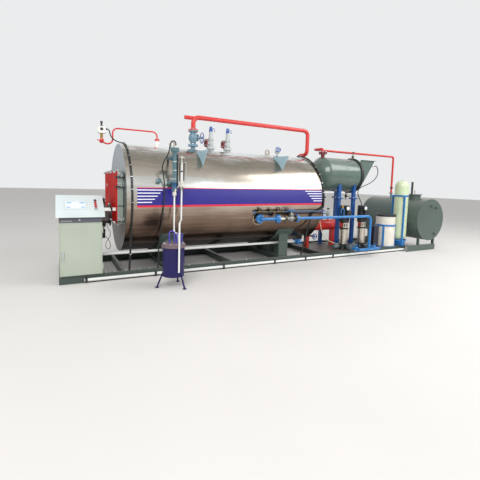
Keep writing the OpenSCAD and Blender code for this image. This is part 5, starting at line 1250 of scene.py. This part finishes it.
# %% Vent, header and economiser valves
vent_lean = Vector((-0.25, -0.75, 0.55)).normalized()
vent_at = Vector((3.41, 0, 2.345))
header_at, drain_at, air_at, foot_at = (5.0, 0, 0), (4.44, 0, 0), (5.62, -0.12, 0), (5.57, 0, 0)
grey_valves = [
    lathe("vent_neck", [(0, 2.245), (0.02, 2.245), (0.02, 2.30), (0.034, 2.304), (0.034, 2.318),
                        (0.018, 2.322), (0.018, 2.34), (0, 2.34)], (3.41, 0, 0), steps=20),
    carried(valve_body(0.11, 0.036), Matrix.Translation((3.355, 0, 2.345)) @ Matrix.Rotation(0.9, 4, "X")),
    lathe("vent_stem", drum(0.007, 0, 0.088), vent_at, vent_lean, steps=10),
    lathe("header_valve", [(0, 0.868), (0.055, 0.868), (0.055, 0.886), (0.028, 0.888), (0.030, 0.900),
                           (0.043, 0.920), (0.046, 0.940), (0.043, 0.960), (0.030, 0.980), (0.028, 0.996),
                           (0.034, 0.998), (0.034, 1.012), (0.011, 1.014), (0.011, 1.046),
                           (0, 1.046)], header_at, steps=28),
    lathe("header_branch", [(0, 0.03), (0.020, 0.03), (0.020, 0.044), (0.026, 0.045), (0.026, 0.062),
                            (0, 0.062)], (5.0, 0, 0.94), front_x, steps=20),
    lathe("header_drain", [(0, 0.379), (0.018, 0.379), (0.030, 0.395), (0.032, 0.411), (0.030, 0.427),
                           (0.017, 0.440), (0.017, 0.536), (0, 0.536)], drain_at, steps=24),
    lathe("drain_bonnet", [(0, 0.02), (0.025, 0.02), (0.025, 0.120), (0.030, 0.122), (0.030, 0.132),
                           (0.008, 0.134), (0.008, 0.188), (0, 0.188)], (4.44, 0, 0.411), near_y, steps=24)]
dress(joined("grey_valve_bodies", grey_valves), cast_body, "valve_blue", stands_for=["small_valves"])
wheels = [carried(handwheel(0.11, 0.020, 0.034), turn_to(vent_lean, vent_at + vent_lean * 0.092)),
          carried(handwheel(0.124, 0.020, 0.04), turn_to(near_y, (4.44, -0.190, 0.411)))]
dress(joined("grey_valve_wheels", wheels), blue_valve_enamel, "valve_blue", stands_for=["small_valves"])
dark_valves = [
    lathe("header_knob", [(0, 1.0465), (0.026, 1.0465), (0.033, 1.052), (0.033, 1.072), (0.026, 1.078),
                          (0, 1.078)], header_at, steps=20),
    lathe("air_valve", [(0, 2.255), (0.015, 2.255), (0.015, 2.338), (0.028, 2.350), (0.031, 2.370),
                        (0.028, 2.390), (0.014, 2.402), (0.010, 2.408), (0.010, 2.478), (0.036, 2.479),
                        (0.038, 2.485), (0.036, 2.492), (0, 2.492)], air_at, steps=24),
    lathe("air_branch", drum(0.012, 0.02, 0.055), (5.62, -0.12, 2.37), front_x, steps=6),
    lathe("foot_valve", [(0, 1.29), (0.013, 1.29), (0.013, 1.345), (0.030, 1.358), (0.037, 1.380),
                         (0.030, 1.402), (0.015, 1.415), (0.015, 1.510), (0, 1.510)], foot_at, steps=24),
    lathe("foot_stem", drum(0.009, 0.02, 0.075), (5.57, 0, 1.375), near_y, steps=12),
    block("foot_lever", (5.525, -0.084, 1.367), (5.615, -0.075, 1.383), 0.003)]
dress(joined("dark_valves", dark_valves), bronze, "valve_blue", stands_for=["small_valves"])
dress(repeat("header_valve_nuts", nut(0.016), ring((5.0, 0, 0.886), up_z, 0.086, 4, 0.78)), zinc,
      "galvanised")
print("vent, header and economiser valves made")

# %% [markdown]
# ## Economiser trims
# The shell's rear end is closed by a black clamping ring, and a raised seam runs round the shell where
# the dished end is welded on and another where its two sheets meet. The probe on the hood has a white
# ceramic head. The red return pipe runs from the shell's flange over to the tank.

# %% Economiser trims
clamping_ring = lathe("clamping_ring", [
    (0.4103, 5.640), (0.437, 5.640), (0.4445, 5.648), (0.4445, 5.7038), (0.4403, 5.7038), (0.4403, 5.6897),
    (0.4103, 5.6897), (0.4103, 5.640)], economiser_axis, back_x, steps=96)
dress(clamping_ring, black_iron, "black_plastic")
seams = [lathe("seam", weld_bead(0.4099, 0.4125, x),
               economiser_axis, back_x, steps=96) for x in (4.692, 5.19)]
dress(joined("economiser_seams", seams), economiser_enamel, "economiser_paint")
head = lathe("probe_head", [(0.0225, 0.0003), (0.031, 0.0003), (0.033, 0.004), (0.033, 0.022),
                            (0.027, 0.030), (0.020, 0.032), (0.0153, 0.034), (0.0153, 0.0125),
                            (0.0225, 0.0123), (0.0225, 0.0003)], (6.15, -0.3003, 2.16), near_y, steps=28)
dress(head, cap_white, "white_plastic")
return_line = pipe("return_pipe", [(4.74, 0, 2.4405), (4.74, 0, 2.52), (4.74, 0.33, 2.52),
                                   (7.7, 0.33, 2.52), (7.7, 0.33, 1.482)], 0.056, 0.062, 20)
dress(return_line, red_enamel, "red_paint", stands_for=["condensate_pipe"])
return_foot = lathe("return_union", hoop(0.0285, 0.040, 1.60, 1.645), (7.7, 0.33, 0), steps=6)
dress(return_foot, black_iron, "red_paint")
print("economiser trims made")

# %% [markdown]
# ## Feed pumps
# Each vertical pump has a ribbed black motor with a fan cowl and a box with a white cap, an open silver
# coupling with two dark windows, four staybolts along its bright sleeve, and a cast foot with flanged
# ports. A slate check valve sits at its inlet and at its outlet, and a blue ball valve before the
# manifold. All of it is built round the origin and copied to both pumps.

# %% Pump trims
port_z, check_y, ball_y = 0.204, -0.230, -0.405
pump_places = [Matrix.Translation((x, pump_y, 0)) for x in pump_xs]
rib = block("rib", (0.1015, -0.002, 0.81), (0.1135, 0.002, 1.115), 0.0008)
ribs = repeat("ribs", rib, [Matrix.Rotation(i * math.tau / 28, 4, "Z") for i in range(28)])
cowl = lathe("cowl", [(0.0905, 1.1245), (0.110, 1.1245), (0.110, 1.158), (0.102, 1.170), (0.0905, 1.1739),
                      (0.0905, 1.1245)], steps=40)
box_top = block("box", (-0.128, -0.165, 1.058), (-0.012, -0.098, 1.165), 0.006)
dress(repeat("pump_motor_ribs", joined("motor", [ribs, cowl, box_top]), pump_places), black_iron,
      "pump_black")
cap = lathe("cap", knob(0.040, 0.010, 0.034, 0.014), (-0.070, -0.1652, 1.112), near_y, steps=28)
dress(repeat("pump_box_caps", cap, pump_places), cap_white, "white_plastic")
coupling = [block("side", (-0.0735, y0, 0.645), (0.0735, y1, 0.762), 0.002)
            for y0, y1 in ((-0.0535, -0.0503), (0.0503, 0.0535))]
coupling += [block("side", (x0, -0.0535, 0.645), (x1, 0.0535, 0.762), 0.002)
             for x0, x1 in ((-0.0735, -0.0703), (0.0703, 0.0735))]
dress(repeat("pump_coupling_guards", joined("guard", coupling), pump_places), pump_stainless, "pump_steel")
windows = [block("window", (x - 0.016, -0.0552, 0.672), (x + 0.016, -0.0530, 0.738), 0.0008)
           for x in (-0.036, 0.036)]
dress(repeat("pump_coupling_windows", joined("windows", windows), pump_places), black_nylon, "pump_black")
staybolts = repeat("staybolts", lathe("bolt", drum(0.007, 0.259, 0.6138), (0.088, 0, 0), steps=12),
                   [Matrix.Rotation(math.pi / 4 + i * math.pi / 2, 4, "Z") for i in range(4)])
sleeve_rings = [lathe("ring", hoop(0.0762, 0.082, z, z + 0.014), steps=40)
                for z in (0.2595, 0.598)]
dress(repeat("pump_staybolts", joined("bolts", [staybolts] + sleeve_rings), pump_places), pump_stainless,
      "pump_steel")
ports = [lathe("port", [(0, 0.135), (0.052, 0.135), (0.052, 0.152), (0.036, 0.156), (0.036, 0.163),
                        (0, 0.163)], (0, 0, port_z), (s, 0, 0), steps=28) for s in (-1, 1)]
ports += [lathe("outlet", hoop(0.0245, 0.050, 0.0955, 0.118), (0, 0, port_z), near_y, steps=28)]
dress(repeat("pump_ports", joined("ports", ports), pump_places), black_iron, "pump_black")
valve_profile = [(0.0245, -0.062), (0.034, -0.060), (0.034, -0.046), (0.050, -0.034), (0.056, 0),
                 (0.050, 0.034), (0.034, 0.046), (0.034, 0.060), (0.0245, 0.062), (0.0245, -0.062)]
manifold_valves = [lathe("ball", valve_profile, (0, ball_y, port_z), near_y, steps=28),
                   lathe("stem", drum(0.014, 0.05, 0.085), (0, ball_y, port_z), steps=14),
                   block("handle", (-0.012, -0.505, 0.286), (0.012, -0.390, 0.297), 0.003)]
dress(repeat("manifold_valves", joined("valve", manifold_valves), pump_places), blue_pipe_enamel, "pipe_blue")
check_profile = [(0.0245, -0.080), (0.050, -0.080), (0.050, -0.064), (0.0585, -0.050), (0.0605, 0),
                 (0.0585, 0.050), (0.050, 0.064), (0.050, 0.080), (0.0245, 0.080), (0.0245, -0.080)]
inlet_profile = [(0, 0.1635), (0.050, 0.1635), (0.050, 0.178), (0.036, 0.186), (0.050, 0.215),
                 (0.050, 0.262), (0.036, 0.290), (0.050, 0.296), (0.050, 0.311), (0, 0.311)]
check_valves = [lathe("check", check_profile, (0, check_y, port_z), near_y, steps=28),
                lathe("inlet", inlet_profile, (0, 0, port_z), front_x, steps=28),
                lathe("bonnet", knob(0.034, 0.066, 0.022, 0.074, low=0.04), (-0.238, 0, port_z), steps=20),
                lathe("bonnet", knob(0.036, 0.076, 0.024, 0.084, low=0.05), (0, check_y, port_z), steps=20)]
dress(repeat("check_valves", joined("valve", check_valves), pump_places), slate_casting, "cast_steel")
print("two pumps trimmed")

# %% [markdown]
# ## Softener and feed tank trims
# The brine tank's lid has a well with a rolled rim, and the blue stand holds it with a hoop and flat
# posts. A rail in front of two square posts holds the resin tank, whose head is plugged in black. The
# feed tank's sockets get their plugs, its vent pipe is black, and four weld beads run round its shell.

# %% Softener trims
brine_at, resin_at = (6.54, -0.47, 0), (6.975, -0.56, 0)
lid_rim = lathe("brine_lid_rim", [(0.150, 0.9272), (0.2425, 0.9272), (0.2425, 0.936), (0.236, 0.941),
                                  (0.168, 0.941), (0.162, 0.936), (0.150, 0.9335),
                                  (0.150, 0.9272)], brine_at, steps=64)
dress(lid_rim, lid_polyethylene, "black_plastic")
stand = [lathe("tray", drum(0.265, 0.1342, 0.1418), brine_at, steps=64),
         lathe("hoop", hoop(0.2353, 0.249, 0.644, 0.686), brine_at, steps=64),
         repeat("posts", block("post", (0.2372, -0.026, 0.142), (0.2475, 0.026, 0.684), 0.001),
                [Matrix.Translation(brine_at) @ Matrix.Rotation(math.radians(a), 4, "Z")
                 for a in (-150, -50, 73)]),
         block("beam", (6.861, -0.75, 0.1342), (6.937, -0.37, 0.244), 0.004),
         block("beam", (6.935, -0.66, 0.1342), (7.097, -0.46, 0.244), 0.004),
         block("post", (6.861, -0.75, 0.242), (6.897, -0.714, 1.44), 0.003),
         block("post", (6.861, -0.406, 0.242), (6.897, -0.37, 1.44), 0.003),
         lathe("strap", hoop(0.1703, 0.180, 1.402, 1.44), resin_at, steps=48),
         lathe("cup", hoop(0.1703, 0.182, 0.2445, 0.285), resin_at, steps=48)]
stand += [block("tab", (6.800, y0, 1.404), (6.862, y1, 1.438), 0.002)
          for y0, y1 in ((-0.752, -0.742), (-0.378, -0.368))]
dress(joined("softener_stand", stand), bright_frame_enamel, "leg_blue", stands_for=["softener_frame"])
rail = [block("rail", (6.796, -0.752, 1.404), (6.802, -0.368, 1.438), 0.002)]
dress(joined("softener_rail", rail), bright_frame_enamel, "leg_blue", stands_for=["softener_frame"])
resin_plug = lathe("resin_plug", drum(0.036, 1.819, 1.824), resin_at, steps=24)
dress(resin_plug, black_nylon, "black_plastic")
windings = [lathe("band", [(0.1700, z), (0.1708, z + 0.002), (0.1708, z + 0.004), (0.1700, z + 0.006),
                           (0.1700, z)],
                  resin_at, steps=48) for z in (0.50, 0.95, 1.62)]
dress(joined("resin_bands", windings), resin_fibreglass, "resin_green")
print("softener trims made")

# %% Feed tank trims
vent = lathe("tank_vent", [(0.0242, 1.468), (0.0262, 1.468), (0.0262, 1.792), (0.030, 1.794),
                           (0.030, 1.797), (0.0242, 1.797), (0.0242, 1.468)], (7.587, -0.42, 0), steps=28)
dress(vent, black_iron, "tank_paint")
whistle = lathe("tank_white_fitting", [(0.0252, 1.468), (0.034, 1.468), (0.034, 1.484), (0.028, 1.488),
                                       (0.028, 1.548), (0.034, 1.552), (0.034, 1.5698), (0.0252, 1.5698),
                                       (0.0252, 1.468)], (7.733, -0.42, 0), steps=28)
dress(whistle, ivory_fitting, "tank_paint")
plugs = [lathe("plug", drum(0.018, 0, 0.012), (x, -0.9703, z), near_y, steps=6)
         for x, z in ((7.697, 1.167), (7.894, 1.126), (7.893, 0.437))]
dress(joined("tank_socket_plugs", plugs), bare_cast_steel, "tank_paint")
beads = [lathe("bead", weld_bead(0.5396, 0.5425, y),
               tank_axis, (0, 1, 0), steps=96) for y in (-0.912, -0.31, 0.30, 0.892)]
beads.append(lathe("rim", hoop(0.5405, 0.5445, -0.928, -0.919),
                   tank_axis, (0, 1, 0), steps=96))
dress(joined("tank_weld_beads", beads), tank_enamel, "tank_paint")
print("feed tank trims made")

# %% [markdown]
# ## Leads, hose and ties
# A thin lead hangs in two loops under the burner, and a cream hose runs from the header's shoulder to the
# first pump's port. Both hang free, so they are laid as cords like the cables. The conduits on the
# shell are held by bright bands, one about every 0.2 m.

# %% Burner lead and header hose
lay_cord("burner_lead", [
    (-200, -160, 875), (-200, -160, 845), (-193, -152, 800), (-170, -132, 755), (-146, -116, 712),
    (-138, -106, 665), (-147, -101, 617), (-174, -100, 576), (-200, -100, 535), (-214, -100, 487),
    (-211, -100, 437), (-193, -101, 404), (-168, -104, 396), (-147, -109, 418), (-140, -115, 465),
    (-150, -118, 522), (-172, -117, 570), (-196, -102, 600), (-209, -76, 617), (-214, -55, 623),
    (-215, -50, 624)], 0.009, cable_pvc, "black_plastic")
hose_route = [
    (4540, -75, 775), (4542, -88, 796), (4547, -108, 813), (4555, -136, 820), (4565, -166, 807),
    (4575, -190, 770), (4583, -204, 720), (4592, -215, 655), (4603, -226, 580), (4620, -241, 500),
    (4652, -266, 425), (4697, -301, 365), (4752, -346, 318), (4812, -401, 284), (4862, -449, 266),
    (4893, -480, 261), (4903, -490, 260)]
lay_cord("header_hose", hose_route, 0.018, cream_hose, "resin_green")
barb_profile = [(0.0092, -0.010), (0.0135, -0.010), (0.0135, 0.012), (0.011, 0.024), (0.0092, 0.024),
                (0.0092, -0.010)]
barbs = [lathe("barb", barb_profile, (4.54, -0.074, 0.773), (0.07, -0.55, 0.84), steps=12),
         lathe("barb", barb_profile, (4.899, -0.486, 0.2605), (-0.70, 0.70, 0.10), steps=12),
         block("boss", (4.890, -0.500, 0.250), (4.912, -0.478, 0.2625), 0.003)]
dress(joined("hose_barbs", barbs), brass, "pump_steel")

# %% Conduit bands
conduit_r, front_conduit_x, rear_conduit_x = 0.9763, 0.085, 3.97
band_places = []
for x, last in ((front_conduit_x, 100), (rear_conduit_x, 92)):
    for angle in range(8, last, 12):
        a = math.radians(angle)
        at = (x, -conduit_r * math.sin(a), shell_z + conduit_r * math.cos(a))
        band_places.append(turn_to((0, math.cos(a), math.sin(a)), at))
for y, z in ((-0.70, 0.20), (-0.80, 0.42)):
    band_places.append(turn_to(up_z, (front_conduit_x, y, z)))
conduit_band = lathe("band", hoop(0.0162, 0.0195, -0.005, 0.005), steps=20)
dress(repeat("conduit_bands", conduit_band, band_places), silver_tie, "galvanised")
print(len(band_places), "bands on the conduits")
